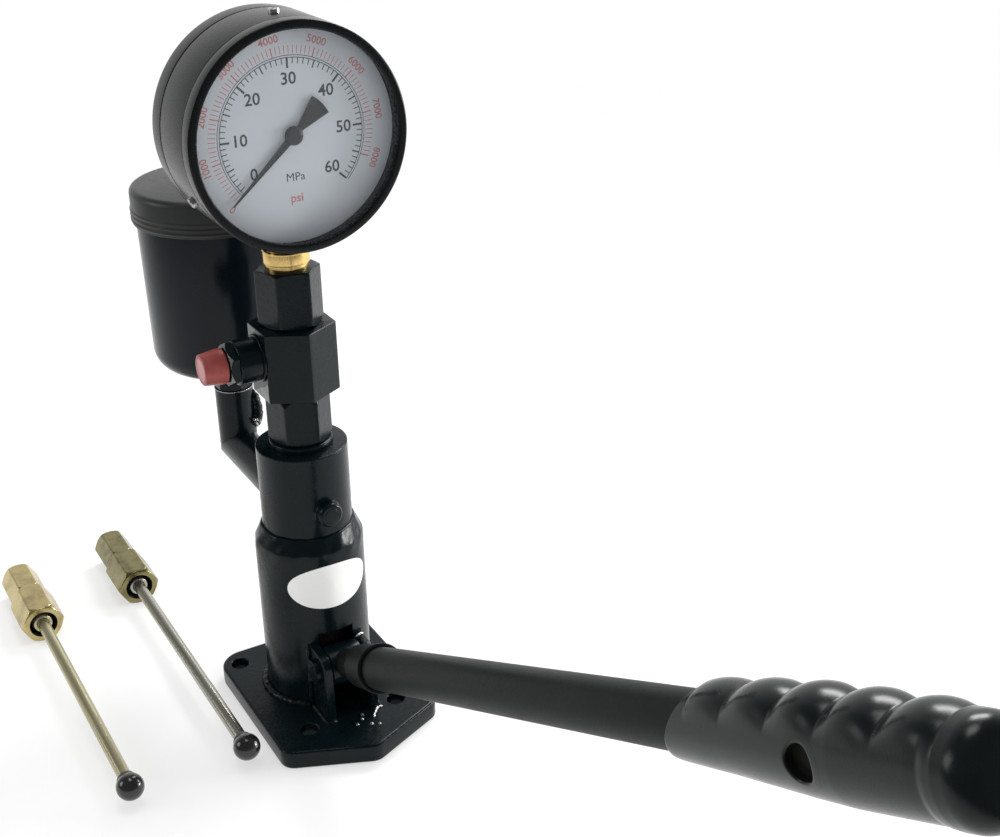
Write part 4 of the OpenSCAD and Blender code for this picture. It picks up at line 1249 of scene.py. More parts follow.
    def _spatter(self) -> None:
        """Bright drops and runs of weld metal."""
        rng = np.random.default_rng(11)
        on_plate = [(55.0, 8.0), (44.0, 3.4), (50.0, -1.9), (47.0, 2.0), (53.0, 4.5)]
        behind = scattered(rng, ((-22, -20.8), (-9, -6), (115, 119)), 7)
        centres = np.vstack([[(x, y, self.size.plate + 0.1) for x, y in on_plate], behind])
        drop = weld_drop(0.0, 10)
        bits = []
        for spot, scale in zip(centres, rng.uniform(0.7, 1.2, len(centres))):
            bits.append(drop.moved(at(*spot) @ np.diag([1.4 * scale, scale, 0.7 * scale, 1.0])))
        runs = [
            [(42.6, 15.6, 10.3), (43.2, 12.3, 10.4), (46.6, 9.2, 10.3), (49.0, 7.4, 10.2)],
            [(29.8, 8.6, 47.0), (29.0, 11.0, 47.2), (28.2, 14.0, 47.0)],
        ]
        for seed, points in enumerate(runs, 40):
            spread, known = np.linspace(0, 1, 24), np.linspace(0, 1, len(points))
            line = np.column_stack([np.interp(spread, known, column) for column in zip(*points)])
            bits.append(weld_bead(line, 0.75, seed))
        self.bench.place("weld_spatter", Surface.joined(*bits), Look.SPATTER, "column", sharp=60.0)

    def _label(self) -> None:
        """Blank oval label, bent round the column."""
        size = self.size
        ring = np.array([0.04, 0.2, 0.4, 0.6, 0.8, 0.97, 1.0, 1.0])[:, None]
        lift = np.array([*[0.32] * 6, 0.22, 0.0])[:, None]
        turn = np.linspace(0, TAU, 120, endpoint=False)
        angle = math.radians(size.label_arc) * ring * np.cos(turn)
        height = size.label_at + size.label_rise * ring * np.sin(turn)
        label = Surface.grid(ring_points(size.lower + lift, angle, height), wrap_v=True)
        label.faces.append(np.arange(len(turn))[None])
        self.bench.place("label", label, Look.LABEL, "column")

    def _screw(self) -> None:
        """Locating screw in its boss."""
        right, out = turned(self.size.screw_turn)[:3, 1], turned(self.size.screw_turn)[:3, 0]
        frame = placement((0, 0, self.size.screw_at), right, (0, 0, 1), out)
        boss = closed_lathe([(8.4, 20.0), (6.3, 22.4), (6.2, 27.4), (0, 27.6)], [0, 1.8, 1.7, 0], 64, 8)
        head = closed_lathe([(3.9, 26.8), (3.9, 27.7), (0, 27.9)], [0, 0.4, 0], 48)
        self.bench.place("screw_boss", boss.moved(frame), Look.BLACK_PAINT, "column")
        self.bench.place("screw_head", head.moved(frame), Look.BLACK_PAINT, "locating_screw", True)


@dataclass(frozen=True)
class StackSize:
    """Hexagons above the column.

    Attributes:
        holder: Hexagon of the valve holder.
        holder_at: Its height.
        holder_turn: Its turn, degrees.
        tee: Hexagon of the tee.
        tee_at: Its height.
        nut: Hexagon of the gauge nut.
        nut_at: Its height.
        nut_turn: Its turn, degrees.
        outlet: Hexagon of the outlet.
        outlet_at: Height of the outlet.
        outlet_out: Distance of that hexagon from the axis.
        thread: Outer radius of the outlet's thread.
        thread_end: Distance of its end from the axis.
    """

    holder: HexSize = HexSize(27.0, 25.2, 1.6, 4.0)
    holder_at: float = 150.0
    holder_turn: float = 13.3
    tee: HexSize = HexSize(36.0, 34.3, 0.0, 0.0, crisp=120.0)
    tee_at: float = 175.2
    nut: HexSize = HexSize(27.0, 27.5, 1.6, 0.9, high_bore=9.0)
    nut_at: float = 209.5
    nut_turn: float = 17.8
    outlet: HexSize = HexSize(19.0, 4.5, 0.0, 1.6)
    outlet_at: float = 195.0
    outlet_out: float = 30.0
    thread: float = 6.0
    thread_end: float = 43.5


class HexStack:
    """Valve holder, tee, gauge nut and the capped outlet."""

    def __init__(self, bench: Bench, size: StackSize = StackSize()) -> None:
        """Keep the bench and sizes, and place the outlet.

        Args:
            bench: Where pieces go.
            size: Sizes.
        """
        self.bench = bench
        self.size = size
        self.outlet = upright((0, 0, size.outlet_at))

    def build(self) -> None:
        """Make the stack."""
        size = self.size
        corners = [(14.1, 140.0), (14.1, 147.0), (15.5, 147.0), (15.5, 150.0), (12.0, 150.0)]
        collar = closed_lathe(corners, [0, 0, 0.3, 0.9, 0])
        holder = hex_bar(size.holder).moved(turned(size.holder_turn, size.holder_at))
        whole = Surface.joined(collar, holder)
        self.bench.place("valve_holder_body", whole, Look.BLACK_PAINT, "valve_holder", True)
        tee = hex_bar(size.tee).moved(at(z=size.tee_at))
        self.bench.place("tee", tee, Look.BLACK_PAINT, "tee_block", True)
        self._worn_glint_corners()
        nut = hex_bar(size.nut).moved(turned(size.nut_turn, size.nut_at))
        self.bench.place("gauge_nut_body", nut, Look.BLACK_PAINT, "gauge_nut", True)
        self._outlet()

    def _worn_glint_corners(self) -> None:
        """Corners of the tee beside the outlet, lighter as bare metal from the turning tool and as a painted
        highlight.
        """
        upper = np.array([(-10.2, 6.8), (-6.2, 9.8), (0.2, 14.1), (-10.2, 14.1)])
        lower = np.array([(10.2, -19.6), (10.2, -9.6), (6.4, -12.6), (-1.0, -15.6), (-7.6, -19.6)])
        level = self.size.tee.flats / 2 + 0.05
        faces = Surface.joined(*[flat_cap(corner, [], level, True) for corner in (upper, lower)])
        self.bench.place("tee_worn_corners", faces.moved(self.outlet), Look.WORN, "tee_block")

    def _thread(self) -> Surface:
        """Thread of the outlet.

        Returns:
            The thread and its bore.
        """
        size = self.size
        run = np.linspace(34.5, size.thread_end, 73)[:, None]
        angle = np.linspace(0, TAU, 64, endpoint=False)
        ridge = size.thread - THREAD_DEPTH * thread_wave(run, angle)
        radius = np.vstack([np.minimum(ridge, 5.2 + (size.thread_end - run) * 0.8), np.full((2, 64), 2.0)])
        level = np.vstack([run, [[size.thread_end], [24.0]]])
        return Surface.grid(ring_points(radius, angle, level), wrap_v=True)

    def _outlet(self) -> None:
        """Connector with washer and red cap."""
        collar = closed_lathe([(6.2, 19.2), (10.5, 19.2), (10.5, 30.0), (8.0, 30.0)], [0, 0.4, 0.8, 0])
        seat = turned(30, self.size.outlet_out)
        # Lighter corners of the outlet hexagon: bare metal and a painted highlight.
        worn = hex_corners(self.size.outlet).moved(self.outlet @ seat)
        self.bench.place("outlet_worn_corners", worn, Look.WORN, "outlet_connector")
        whole = Surface.joined(collar, hex_bar(self.size.outlet).moved(seat), self._thread())
        self.bench.place("outlet_body", whole.moved(self.outlet), Look.BLACK_PAINT, "outlet_connector", True)
        washer = ring_lathe([(6.1, 18.0), (11.5, 18.0), (11.5, 19.2), (6.1, 19.2)], [0.2, 0.4, 0.4, 0.2])
        self.bench.place("outlet_seal", washer.moved(self.outlet), Look.BLACK_PAINT, "outlet_washer", True)
        skirt = closed_lathe(
            [(6.35, 43.8), (6.35, 34.8), (8.4, 34.8), (8.4, 37.8), (7.3, 46.0), (5.4, 46.0)],
            [0, 0.4, 0.7, 3.0, 1.0, 0],
        )
        whole = Surface.joined(skirt, lathe(np.array([(6.35, 43.8), (0.0, 43.8)])))
        self.bench.place("cap_skirt", whole.moved(self.outlet), Look.CAP, "outlet_cap", True)
        # The end face takes the paler red: a painted highlight.
        face = closed_lathe([(5.4, 46.0), (4.9, 45.75), (0.0, 45.75)], [0, 0.3, 0])
        self.bench.place("cap_face", face.moved(self.outlet), Look.CAP_FACE, "outlet_cap")


@dataclass(frozen=True)
class DialSize:
    """Printed scales of the dial, angles anticlockwise from the right.

    Attributes:
        zero: Angle of zero.
        full: Angle of the last mark.
        inner: Outer radius of the inner ticks.
        outer: Inner radius of the outer ticks.
        top: Highest inner value.
        outer_top: Highest outer value.
        outer_per_inner: Outer units in one inner unit.
        numbers: Distance of the inner numbers from the centre.
        outer_numbers: Distance of the outer numbers from the centre.
        unit: Distance of the inner unit from the centre.
        outer_unit: Distance of the outer unit from the centre.
    """

    zero: float = 223.5
    full: float = -43.5
    inner: float = 32.7
    outer: float = 34.0
    top: int = 60
    outer_top: int = 8000
    outer_per_inner: float = 145.04
    numbers: float = 24.0
    outer_numbers: float = 41.0
    unit: float = 18.5
    outer_unit: float = 27.8


class Gauge:
    """Pressure gauge with printed dial.

    Args:
        bench: Where pieces go.
        dial: Sizes of the print.
    """

    CENTRE = 301.8
    PRINT_AT = 19.24
    POINTER_AT = 20.4
    POINTER_REST = 222.0
    SCREWS_AT = 9.0
    SCREW_TURNS = (90, 210, 330)

    def __init__(self, bench: Bench, dial: DialSize = DialSize()) -> None:
        """Keep the bench and the dial."""
        self.bench = bench
        self.dial = dial

    def front(self, x: float = 0.0) -> Array:
        """Placement at a distance along X whose XY plane faces the viewer of the dial."""
        return placement((x, 0, self.CENTRE), (0, 1, 0), (0, 0, 1), (1, 0, 0))

    def build(self) -> None:
        """Make the gauge."""
        case = closed_lathe(
            [
                (0, -18.0), (50.0, -18.0), (50.0, -6.5), (49.4, -6.1), (49.4, -5.7), (50.0, -5.3),
                (50.0, 21.7), (48.2, 21.7), (48.2, 18.3), (0.0, 18.3),
            ],
            [0, 2.2, 0.2, 0.1, 0.1, 0.2, 0.3, 0, 0, 0],
            160,
        )
        self.bench.place("case_shell", case.moved(self.front()), Look.GAUGE_PAINT, "gauge_case", True)
        bezel = ring_lathe(
            [(48.2, 21.8), (50.0, 21.8), (50.0, 29.7), (46.0, 29.7), (46.0, 26.1), (48.2, 26.1)],
            [0, 0.3, 1.0, 0.9, 0.2, 0],
            160,
        )
        self.bench.place("bezel_ring", bezel.moved(self.front()), Look.GAUGE_PAINT, "gauge_bezel", True)
        glass = closed_lathe([(0, 24.1), (47.9, 24.1), (47.9, 26.1), (0, 26.1)], [0, 0.2, 0.2, 0], 128)
        self.bench.place("glass", glass.moved(self.front()), Look.GLASS, "gauge_glass", True)
        self._face()
        self._pointer()
        self._screws()
        self._stem()

    def angle(self, value: float) -> float:
        """Angle of an inner scale value, radians anticlockwise from the right."""
        dial = self.dial
        return math.radians(dial.zero + (dial.full - dial.zero) * value / dial.top)

    def _face(self) -> None:
        """Dial plate with both scales."""
        plate = closed_lathe([(1.7, 18.4), (47.8, 18.4), (47.8, 19.2), (1.7, 19.2)], [0, 0, 0.2, 0], 128)
        self.bench.place("dial_plate", plate.moved(self.front()), Look.DIAL, "gauge_dial", True)
        print_at = self.front(self.PRINT_AT)
        inner, outer = self._inner_scale().moved(print_at), self._outer_scale().moved(print_at)
        self.bench.place("dial_ink", inner, Look.INK, "gauge_dial")
        self.bench.place("dial_red_ink", outer, Look.RED_INK, "gauge_dial")

    def _inner_scale(self) -> Surface:
        """Black scale with its numbers and unit.

        Returns:
            Flat marks.
        """
        dial = self.dial
        marks = []
        for value in range(dial.top + 1):
            shape = (4.2, 0.9) if value % 10 == 0 else (3.2, 0.6) if value % 5 == 0 else (2.4, 0.42)
            marks.append(self._tick(self.angle(value), dial.inner, *shape))
        marks += [self._arc(dial.inner, 0.35), self._arc(dial.outer - 0.3, 0.3)]
        for value in range(0, dial.top + 1, 10):
            angle = self.angle(max(value, 1.2))
            marks.append(self._words(str(value), (5.2, 0.12), dial.numbers, angle, False))
        marks.append(self._words("MPa", (3.8, 0.0), dial.unit, -math.pi / 2, False))
        return Surface.joined(*marks)

    def _outer_scale(self) -> Surface:
        """Red scale with its numbers and unit.

        Returns:
            Flat marks.
        """
        dial = self.dial
        marks = []
        for value in range(0, dial.outer_top + 1, 100):
            shape = (4.0, 0.6) if value % 1000 == 0 else (3.4, 0.36)
            marks.append(self._tick(self.angle(value / dial.outer_per_inner), dial.outer + 4.0, *shape))
        for value in range(0, dial.outer_top + 1, 1000):
            angle = self.angle(value / dial.outer_per_inner)
            marks.append(self._words(str(value), (3.3, 0.06), dial.outer_numbers, angle, True))
        marks.append(self._words("psi", (4.0, 0.08), dial.outer_unit, -math.pi / 2, False))
        return Surface.joined(*marks)

    @staticmethod
    def _tick(angle: float, outer: float, length: float, width: float) -> Surface:
        """Radial mark.

        Args:
            angle: Where it points.
            outer: Radius of its outer end.
            length: Its length.
            width: Its width.

        Returns:
            A flat strip.
        """
        out = np.array([math.cos(angle), math.sin(angle), 0.0])
        side = np.array([-out[1], out[0], 0.0]) * width / 2
        rows = [[out * radius + shift for shift in (side, -side)] for radius in (outer - length, outer)]
        return Surface.grid(np.array(rows))

    def _arc(self, radius: float, width: float) -> Surface:
        """Thin flat arc along the scale."""
        angle = np.radians(np.linspace(self.dial.zero, self.dial.full, 160))
        return Surface.grid(ring_points(np.array([[radius], [radius + width]]), angle, 0.0))

    @staticmethod
    def _words(
        words: str, letters: tuple[float, float], radius: float, angle: float, follow: bool
    ) -> Surface:
        """Letters on the dial.

        Args:
            words: What is written.
            letters: Letter height and how far the strokes grow.
            radius: Distance from the centre.
            angle: Direction from the centre.
            follow: Whether the letters turn with the scale.

        Returns:
            Flat letters.
        """
        turn = math.degrees(angle) - 90 if follow else 0.0
        spot = at(radius * math.cos(angle), radius * math.sin(angle))
        return text_surface(words, *letters).moved(spot @ turned(turn))

    def _pointer(self) -> None:
        """Pointer at zero, with its fan-shaped tail and its hub."""
        fan = np.radians(np.linspace(180 - 16.5, 180 + 16.5, 9))
        tail = 18.6 * np.stack([np.cos(fan), np.sin(fan)], axis=1)
        needle = [(-4.5, -1.5), (0, -1.7), (40.0, -0.3), (40.4, 0.0), (40.0, 0.3), (0, 1.7), (-4.5, 1.5)]
        blade = rounded_prism(np.vstack([needle, tail]), 0.0, 0.7, 0.12)
        hub = closed_lathe([(0, 0.1), (4.1, 0.1), (4.1, 1.3), (2.6, 1.9), (0, 1.9)], [0, 0, 0.4, 0.3, 0], 48)
        whole = Surface.joined(blade, hub).moved(self.front(self.POINTER_AT) @ turned(self.POINTER_REST))
        self.bench.place("pointer_blade", whole, Look.POINTER, "gauge_pointer", True)

    def _screws(self) -> None:
        """Three screws round the case."""
        corners = [(0.0, 47.6), (2.5, 47.6), (2.5, 51.8), (1.1, 51.8), (1.1, 50.9), (0, 50.9)]
        head = closed_lathe(corners, [0, 0, 0.5, 0.1, 0.1, 0], 32)
        heads = []
        for degrees in self.SCREW_TURNS:
            out = turned(degrees)[:3, 0]
            frame = placement((0, 0, 0), (0, 0, 1), np.cross(out, (0, 0, 1)), out)
            heads.append(head.moved(self.front(self.SCREWS_AT) @ frame))
        self.bench.place("case_screw_heads", Surface.joined(*heads), Look.STEEL, "case_screws", True)

    def _stem(self) -> None:
        """Brass stem, and the finish of what is inside the case."""
        corners = [
            (9.9, 232.0), (9.9, 237.0), (10.2, 237.0), (10.2, 239.4), (9.3, 239.4), (9.3, 240.0),
            (11.0, 240.0), (11.0, 245.5), (8.9, 245.5), (8.9, 247.4), (7.0, 247.4), (7.0, 254.0),
        ]
        stem = closed_lathe(corners, [0, 0, 0.2, 0.5, 0.1, 0.1, 0.6, 0.7, 0.2, 0.3, 0, 0])
        self.bench.place("stem_turned", stem, Look.BRASS, "gauge_stem")
        self.bench.repaint(Look.BRASS, "gauge_stem", "gauge_movement", "bourdon_tube")


@dataclass(frozen=True)
class ReservoirSize:
    """Cup, lid and elbow.

    Attributes:
        axis: Place of the cup's axis along X.
        rim: Height of the cup's rim.
        lid: Radius of the lid.
        lid_inside: Its inner radius.
        lid_low: Height of its lower edge.
        lid_top: Height of its top.
        nut: Hexagon under the cup.
        nut_at: Its height.
        weld_turn: Direction of the elbow's weld, degrees.
        weld_top: Height where the weld begins.
        weld_drop: How far it runs down.
    """

    axis: float = -93.1
    rim: float = 252.0
    lid: float = 41.7
    lid_inside: float = 40.3
    lid_low: float = 237.0
    lid_top: float = 255.0
    nut: HexSize = HexSize(19.0, 14.5, low_bore=7.0, high_bore=7.0)
    nut_at: float = 141.5
    weld_turn: float = 58.0
    weld_top: float = 139.0
    weld_drop: float = 23.0


class Reservoir:
    """Cup with lid on its elbow."""

    def __init__(self, bench: Bench, size: ReservoirSize = ReservoirSize()) -> None:
        """Keep the bench and sizes, and place the axis.

        Args:
            bench: Where pieces go.
            size: Sizes.
        """
        self.bench = bench
        self.size = size
        self.axis = at(x=size.axis)

    def build(self) -> None:
        """Make the reservoir."""
        size = self.size
        cup = ring_lathe(
            [(7.3, 157.5), (38.9, 157.5), (40.0, size.rim), (37.8, size.rim), (36.7, 159.7), (7.3, 159.7)],
            [0.2, 11.0, 0.8, 0.8, 8.8, 0.2],
            144,
            10,
        )
        self.bench.place("cup_shell", cup.moved(self.axis), Look.CUP, "reservoir_cup", True)
        self.bench.place("lid_shell", self._lid().moved(self.axis), Look.LID, "reservoir_lid", True)
        nut = hex_bar(size.nut).moved(self.axis @ at(z=size.nut_at))
        self.bench.place("cup_nut", nut, Look.BLACK_PAINT, "reservoir_nut", True)
        self._weld()
        self.bench.repaint(Look.BLACK_PAINT, "reservoir_elbow")
        self.bench.repaint(Look.RUBBER, "reservoir_seals")
        self.bench.repaint(Look.STEEL, "reservoir_stud", "inner_nut")
        self.bench.repaint(Look.BRASS, "strainer")

    def _lid(self) -> Surface:
        """Lid with three beads round its skirt.

        Returns:
            The lid about the Z axis.
        """
        size = self.size
        out, low, inside = size.lid, size.lid_low, size.lid_inside
        beads = [(out, low)]
        for step in range(3):
            level = low + 1.1 + 2.5 * step
            beads += [(out, level), (out + 0.5, level + 0.5), (out + 0.5, level + 1.1), (out, level + 1.6)]
        corners = [(inside, low), *beads, (out, size.lid_top), (0.0, size.lid_top)]
        radii = [0.3, 0.4, *[0.3] * (len(beads) - 1), 3.2, 0]
        under = np.array([(0.0, size.rim), (inside, size.rim), (inside, low)])
        return Surface.joined(closed_lathe(corners, radii, 144, 4), lathe(under, 144))

    def _weld(self) -> None:
        """Bright ring on the elbow's rim as a painted highlight, and the rough weld down its inner side with
        bright grains.
        """
        size = self.size
        # Thin bright ring under the cup nut: a painted highlight along the rim.
        corners = [(9.4, 140.9), (10.35, 140.9), (10.35, 141.45), (9.4, 141.45)]
        rim = ring_lathe(corners, [0.1, 0.2, 0.2, 0.1], 72, 3)
        self.bench.place("elbow_rim", rim.moved(self.axis), Look.SPATTER, "reservoir_elbow")
        run = np.linspace(0, 1, 40)
        out = 9.6 + 1.9 * np.sin(math.pi * run)
        path = ring_points(out, math.radians(size.weld_turn), size.weld_top - size.weld_drop * run)
        weld = weld_bead(path, 3.3, 21).moved(self.axis)
        self.bench.place("elbow_weld", weld, Look.WELD, "reservoir_elbow", sharp=60.0)
        spots = scattered(np.random.default_rng(23), ((-85.5, -82.5), (6.0, 10.5), (119.0, 124.5)), 7)
        grains = [weld_drop(0.1, 12).moved(at(*spot)) for spot in spots]
        self.bench.place("elbow_grains", Surface.joined(*grains), Look.SPATTER, "reservoir_elbow", sharp=60.0)


@dataclass(frozen=True)
class GripSize:
    """Moulded grip, measured from the pivot along the lever.

    Attributes:
        start: Where it begins underneath.
        slant: How far its beginning is cut back on top.
        slant_fade: Length over which that cut fades.
        end: Where it ends.
        end_drop: How far its radius falls at the end.
        ridge_first: Place of the first ridge.
        ridge_pitch: Pitch of the ridges.
        ridge_side: Angle from the top where the ridges end, degrees.
        ridge_fade: Angle over which they fade, degrees.
        rim: Length of the rounded beginning.
        bore: Radius round the tube.
        body_at: Places where the round part is known.
        body: Its radius there.
        side: Radius at the side recess.
        peaks: Height of each ridge above the axis.
        dips: How far the top falls from each ridge to the valleys.
        hole_at: Place of the side recess.
        hole: Radius of the side recess.
        hole_depth: Depth of the side recess.
        dimple_at: Place of the small dimple.
        dimple_turn: Its angle from the top, degrees.
        dimple_out: Radius of the grip there.
        dimple: Its radius.
        dimple_depth: Its depth.
    """

    start: float = 309.0
    slant: float = 14.0
    slant_fade: float = 33.0
    end: float = 441.0
    end_drop: float = 6.2
    ridge_first: float = 334.0
    ridge_pitch: float = 21.3
    ridge_side: float = 68.0
    ridge_fade: float = 40.0
    rim: float = 1.6
    bore: float = 10.3
    body_at: Numbers = (309, 314, 341, 360, 377, 393, 408, 421, 425, 427, 430, 433)
    body: Numbers = (11.8, 12.2, 12.95, 13.7, 14.4, 14.8, 14.55, 14.3, 14.15, 14.5, 14.7, 14.6)
    side: float = 14.4
    peaks: Numbers = (14.9, 16.2, 17.0, 16.8, 16.3)
    dips: Numbers = (1.9, 2.5, 3.3, 3.3, 3.0)
    hole_at: float = 381.0
    hole: float = 5.6
    hole_depth: float = 3.4
    dimple_at: float = 390.0
    dimple_turn: float = 327.0
    dimple_out: float = 14.6
    dimple: float = 1.4
    dimple_depth: float = 0.7


class Lever:
    """Lever with head, tube, grip and pivot."""

    LIFT = math.radians(27.71)
    ALONG = (math.cos(LIFT), 0.0, math.sin(LIFT))
    UP = (-math.sin(LIFT), 0.0, math.cos(LIFT))
    PIVOT = (32.0, 0.0, 36.2)
    TUBE = 10.2
    TUBE_ENDS = (37.0, 434.0)
    ARM = 33.1
    ARM_TURN = 15.0
    NOSE = 33.13

    def __init__(self, bench: Bench, grip: GripSize = GripSize()) -> None:
        """Keep the bench and the grip, and place the lever.

        Args:
            bench: Where pieces go.
            grip: Sizes of the grip.
        """
        self.bench = bench
        self.grip = grip
        self.frame = placement(self.PIVOT, self.UP, (0, 1, 0), self.ALONG)

    def build(self) -> None:
        """Make the lever."""
        self._head()
        low, high = self.TUBE_ENDS
        tube = closed_lathe([(self.TUBE, low), (self.TUBE, high), (0.0, high)], [0, 0.4, 0], 96)
        self.bench.place("lever_bar", tube.moved(self.frame), Look.LEVER_PAINT, "lever_tube", True)
        grip, rim, hole = (
            surface.moved(self.frame)
            for surface in (self._grip(), self._recess(slice(0, 6)), self._recess(slice(5, None)))
        )
        self.bench.place("grip_moulding", grip, Look.GRIP, "lever_grip", True, 50.0)
        self.bench.place("grip_rim", rim, Look.GRIP, "lever_grip", sharp=50.0)
        # The recess's wall and floor take the dull dark lining: painted shade.
        self.bench.place("grip_recess", hole, Look.HOLLOW, "lever_grip", sharp=50.0)
        self.bench.repaint(Look.BLACK_PAINT, "pivot_pin")
        self.bench.repaint(Look.SPRING, "pin_clip")

    def _head(self) -> None:
        """Hub, neck with its socket, and the inner arm with its rounded nose; hub and arm are painted darker
        as shade between the cheeks.
        """
        across = upright(self.PIVOT)
        hub = ring_lathe([(4.05, -9.1), (10.0, -9.1), (10.0, 9.1), (4.05, 9.1)], [0.4, 0.9, 0.9, 0.4], 72)
        corners = [
            (7.2, 4.0), (7.5, 20.0), (8.6, 27.0), (10.6, 31.0), (11.4, 50.0),
            (12.0, 51.0), (12.0, 53.0), (10.25, 53.0), (10.25, 44.0),
        ]
        neck = closed_lathe(corners, [0, 6.0, 4.0, 3.0, 0.6, 0.5, 0.6, 0.5, 0]).moved(self.frame)
        arm_frame = across @ turned(self.ARM_TURN)
        outline = np.array([(-self.ARM, -5.0), (0, -9.0), (0, 8.0), (-self.ARM, 3.0)])
        arm = rounded_prism(outline, -6.0, 6.0, 0.8).moved(arm_frame)
        nose = closed_lathe([(0, -6.0), (6.0, -6.0), (6.0, 6.0), (0, 6.0)], [0, 0.8, 0.8, 0], 48)
        nose = nose.moved(arm_frame @ at(-self.NOSE))
        root = Surface.joined(hub.moved(across), arm, nose)
        # The hub and inner arm take the darker column paint: painted shade between the cheeks.
        self.bench.place("lever_root", root, Look.BLACK_PAINT, "lever_head", True)
        self.bench.place("lever_neck", neck, Look.LEVER_PAINT, "lever_head")

    def _grip_radius(self, run: Array, turn: Array) -> Array:
        """Radius of the grip, round below and ridged on top.

        Args:
            run: Distances from the pivot.
            turn: Angles about the lever, 0 on top.

        Returns:
            Radii.
        """
        size = self.grip
        last = size.body_at[-1]
        close = np.clip((run - last) / (size.end - last), 0, 1)
        body = np.interp(run, size.body_at, size.body) - size.end_drop * (1 - np.sqrt(1 - close**2))
        half = size.ridge_pitch / 2
        centres = size.ridge_first + size.ridge_pitch * np.arange(len(size.peaks))
        ridges = [
            peak - dip * ((run - centre) / half) ** 2
            for centre, peak, dip in zip(centres, size.peaks, size.dips)
        ]
        into = np.clip((run - centres[0] + half - 1.0) / 3.0, 0, 1)
        into = into * np.clip((centres[-1] + half - run) / 0.6, 0, 1)
        from_top = np.abs((turn + math.pi) % TAU - math.pi)
        fade = math.radians(size.ridge_fade)
        share = np.clip((math.radians(size.ridge_side) - from_top) / fade, 0, 1)
        return body + (np.max(ridges, axis=0) - body) * into * share**2 * (3 - 2 * share)

    def _grip(self) -> Surface:
        """Moulding from its slanted beginning to its closed end.

        Returns:
            The grip with an opening for the side recess.
        """
        size = self.grip
        half = size.ridge_pitch / 2
        marks = size.ridge_first + half + size.ridge_pitch * np.arange(len(size.peaks))
        first, last = (size.start + size.rim, marks[0], 70), (marks[-1], size.end, 44)
        stops = [first, *[(*pair, 40) for pair in zip(marks, marks[1:])], last]
        rim = size.start + size.rim * np.linspace(0, 1, 7)
        base = np.unique(np.concatenate([rim, *[np.linspace(*stop) for stop in stops]]))
        turn = np.linspace(0, TAU, 220, endpoint=False)
        back = size.slant * (0.5 + 0.5 * np.cos(turn)) ** 1.5
        fade = np.clip(1 - (base - size.start) / size.slant_fade, 0, 1) ** 2
        run = base[:, None] + back * fade[:, None]
        ease = np.clip((base - size.start) / size.rim, 0, 1)[:, None]
        radius = size.bore + (self._grip_radius(run, turn) - size.bore) * np.sqrt(1 - (1 - ease) ** 2)
        beside = (turn - math.radians(size.dimple_turn)) * size.dimple_out
        dimple = np.hypot(run - size.dimple_at, beside)
        radius -= size.dimple_depth * np.exp(-((dimple / size.dimple) ** 2))
        away = np.hypot(run - size.hole_at, (turn - 1.5 * math.pi) * size.side)[:-1]
        moulding = Surface.grid(ring_points(radius, turn, run), wrap_v=True, keep=away > size.hole + 1.2)
        moulding.faces.append(np.arange(run.size - len(turn), run.size)[None])
        return moulding

    def _recess(self, rows_kept: slice) -> Surface:
        """Hanging hole in the side of the grip.

        Args:
            rows_kept: Which rows, from the rim inward.

        Returns:
            Rim, wall or floor.
        """
        size = self.grip
        floor = size.hole_depth
        wider = np.array([3.0, 2.0, 1.0, 0.5, 0.15, 0.0, -0.1, -0.2, -0.8, -size.hole / 2, 0.05 - size.hole])
        depth = np.array([-0.02, -0.02, -0.02, 0.0, 0.15, 0.5, 2.0, floor - 0.4, floor, floor, floor])
        angle = np.linspace(0, TAU, 72, endpoint=False)
        across = size.hole + wider[rows_kept, None]
        run = size.hole_at + across * np.cos(angle)
        turn = 1.5 * math.pi + across * np.sin(angle) / size.side
        radius = self._grip_radius(run, turn) - depth[rows_kept, None]
        return Surface.grid(ring_points(radius, turn, run)[:, ::-1], wrap_v=True)


@dataclass(frozen=True)
class SpringSize:
    """Coil spring with closed ends.

    Attributes:
        name: Object name.
        node: CAD node it stands for.
        mean: Mean radius.
        wire: Wire radius.
        turns: Number of turns.
        low: Height of its lower end.
        high: Height of its upper end.
        joint: Joint that squeezes it, not used.
        keep: Share of its length left at the limit, not used.
    """

    name: str
    node: str
    mean: float
    wire: float
    turns: float
    low: float
    high: float
    joint: str
    keep: float


class Pump:
    """Plunger, tappet and springs inside the column.

    Args:
        bench: Where pieces go.
    """

    SPRINGS = (
        SpringSize("return_coil", "return_spring", 13.0, 1.3, 5.5, 45.83, 84.0, "plunger_lift", 0.5507),
        SpringSize("valve_coil", "valve_spring", 3.1, 0.5, 5.0, 136.5, 150.0, "valve_lift", 0.8148),
    )

    def __init__(self, bench: Bench) -> None:
        """Keep the bench."""
        self.bench = bench

    def build(self) -> None:
        """Make the springs and finish the rest."""
        self.bench.repaint(Look.STEEL, "plunger", "tappet", "barrel", "valve_seat", "delivery_valve")
        self.bench.repaint(Look.BRASS, "valve_washer")
        for spring in self.SPRINGS:
            self._spring(spring)

    def _spring(self, size: SpringSize) -> None:
        """Make a coil with closed ends.

        Args:
            size: Its sizes.
        """
        turn = np.linspace(0, size.turns, int(size.turns * 40) + 1)
        ends = np.minimum(turn, 1) + np.maximum(turn - size.turns + 1, 0)
        close = 2 * size.wire + 0.6
        pitch = (size.high - size.low - 2 * size.wire - 2 * close) / (size.turns - 2)
        height = size.low + size.wire + close * ends + pitch * (turn - ends)
        coil = swept(ring_points(size.mean, TAU * turn, height), np.full(len(turn), size.wire), 12)
        piece = self.bench.place(size.name, coil, Look.SPRING, size.node, True, 60.0)
        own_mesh(piece)


@dataclass(frozen=True)
class PipeSize:
    """Loose pipe on the floor.

    Attributes:
        name: Prefix of its CAD nodes.
        y: Place across.
        ball: Place of the ball cap along X.
        run: Distance from ball to front nut.
        look: Finish of the tube.
        nuts: Finish of the nuts.
    """

    name: str
    y: float
    ball: float
    run: float
    look: Look
    nuts: Look


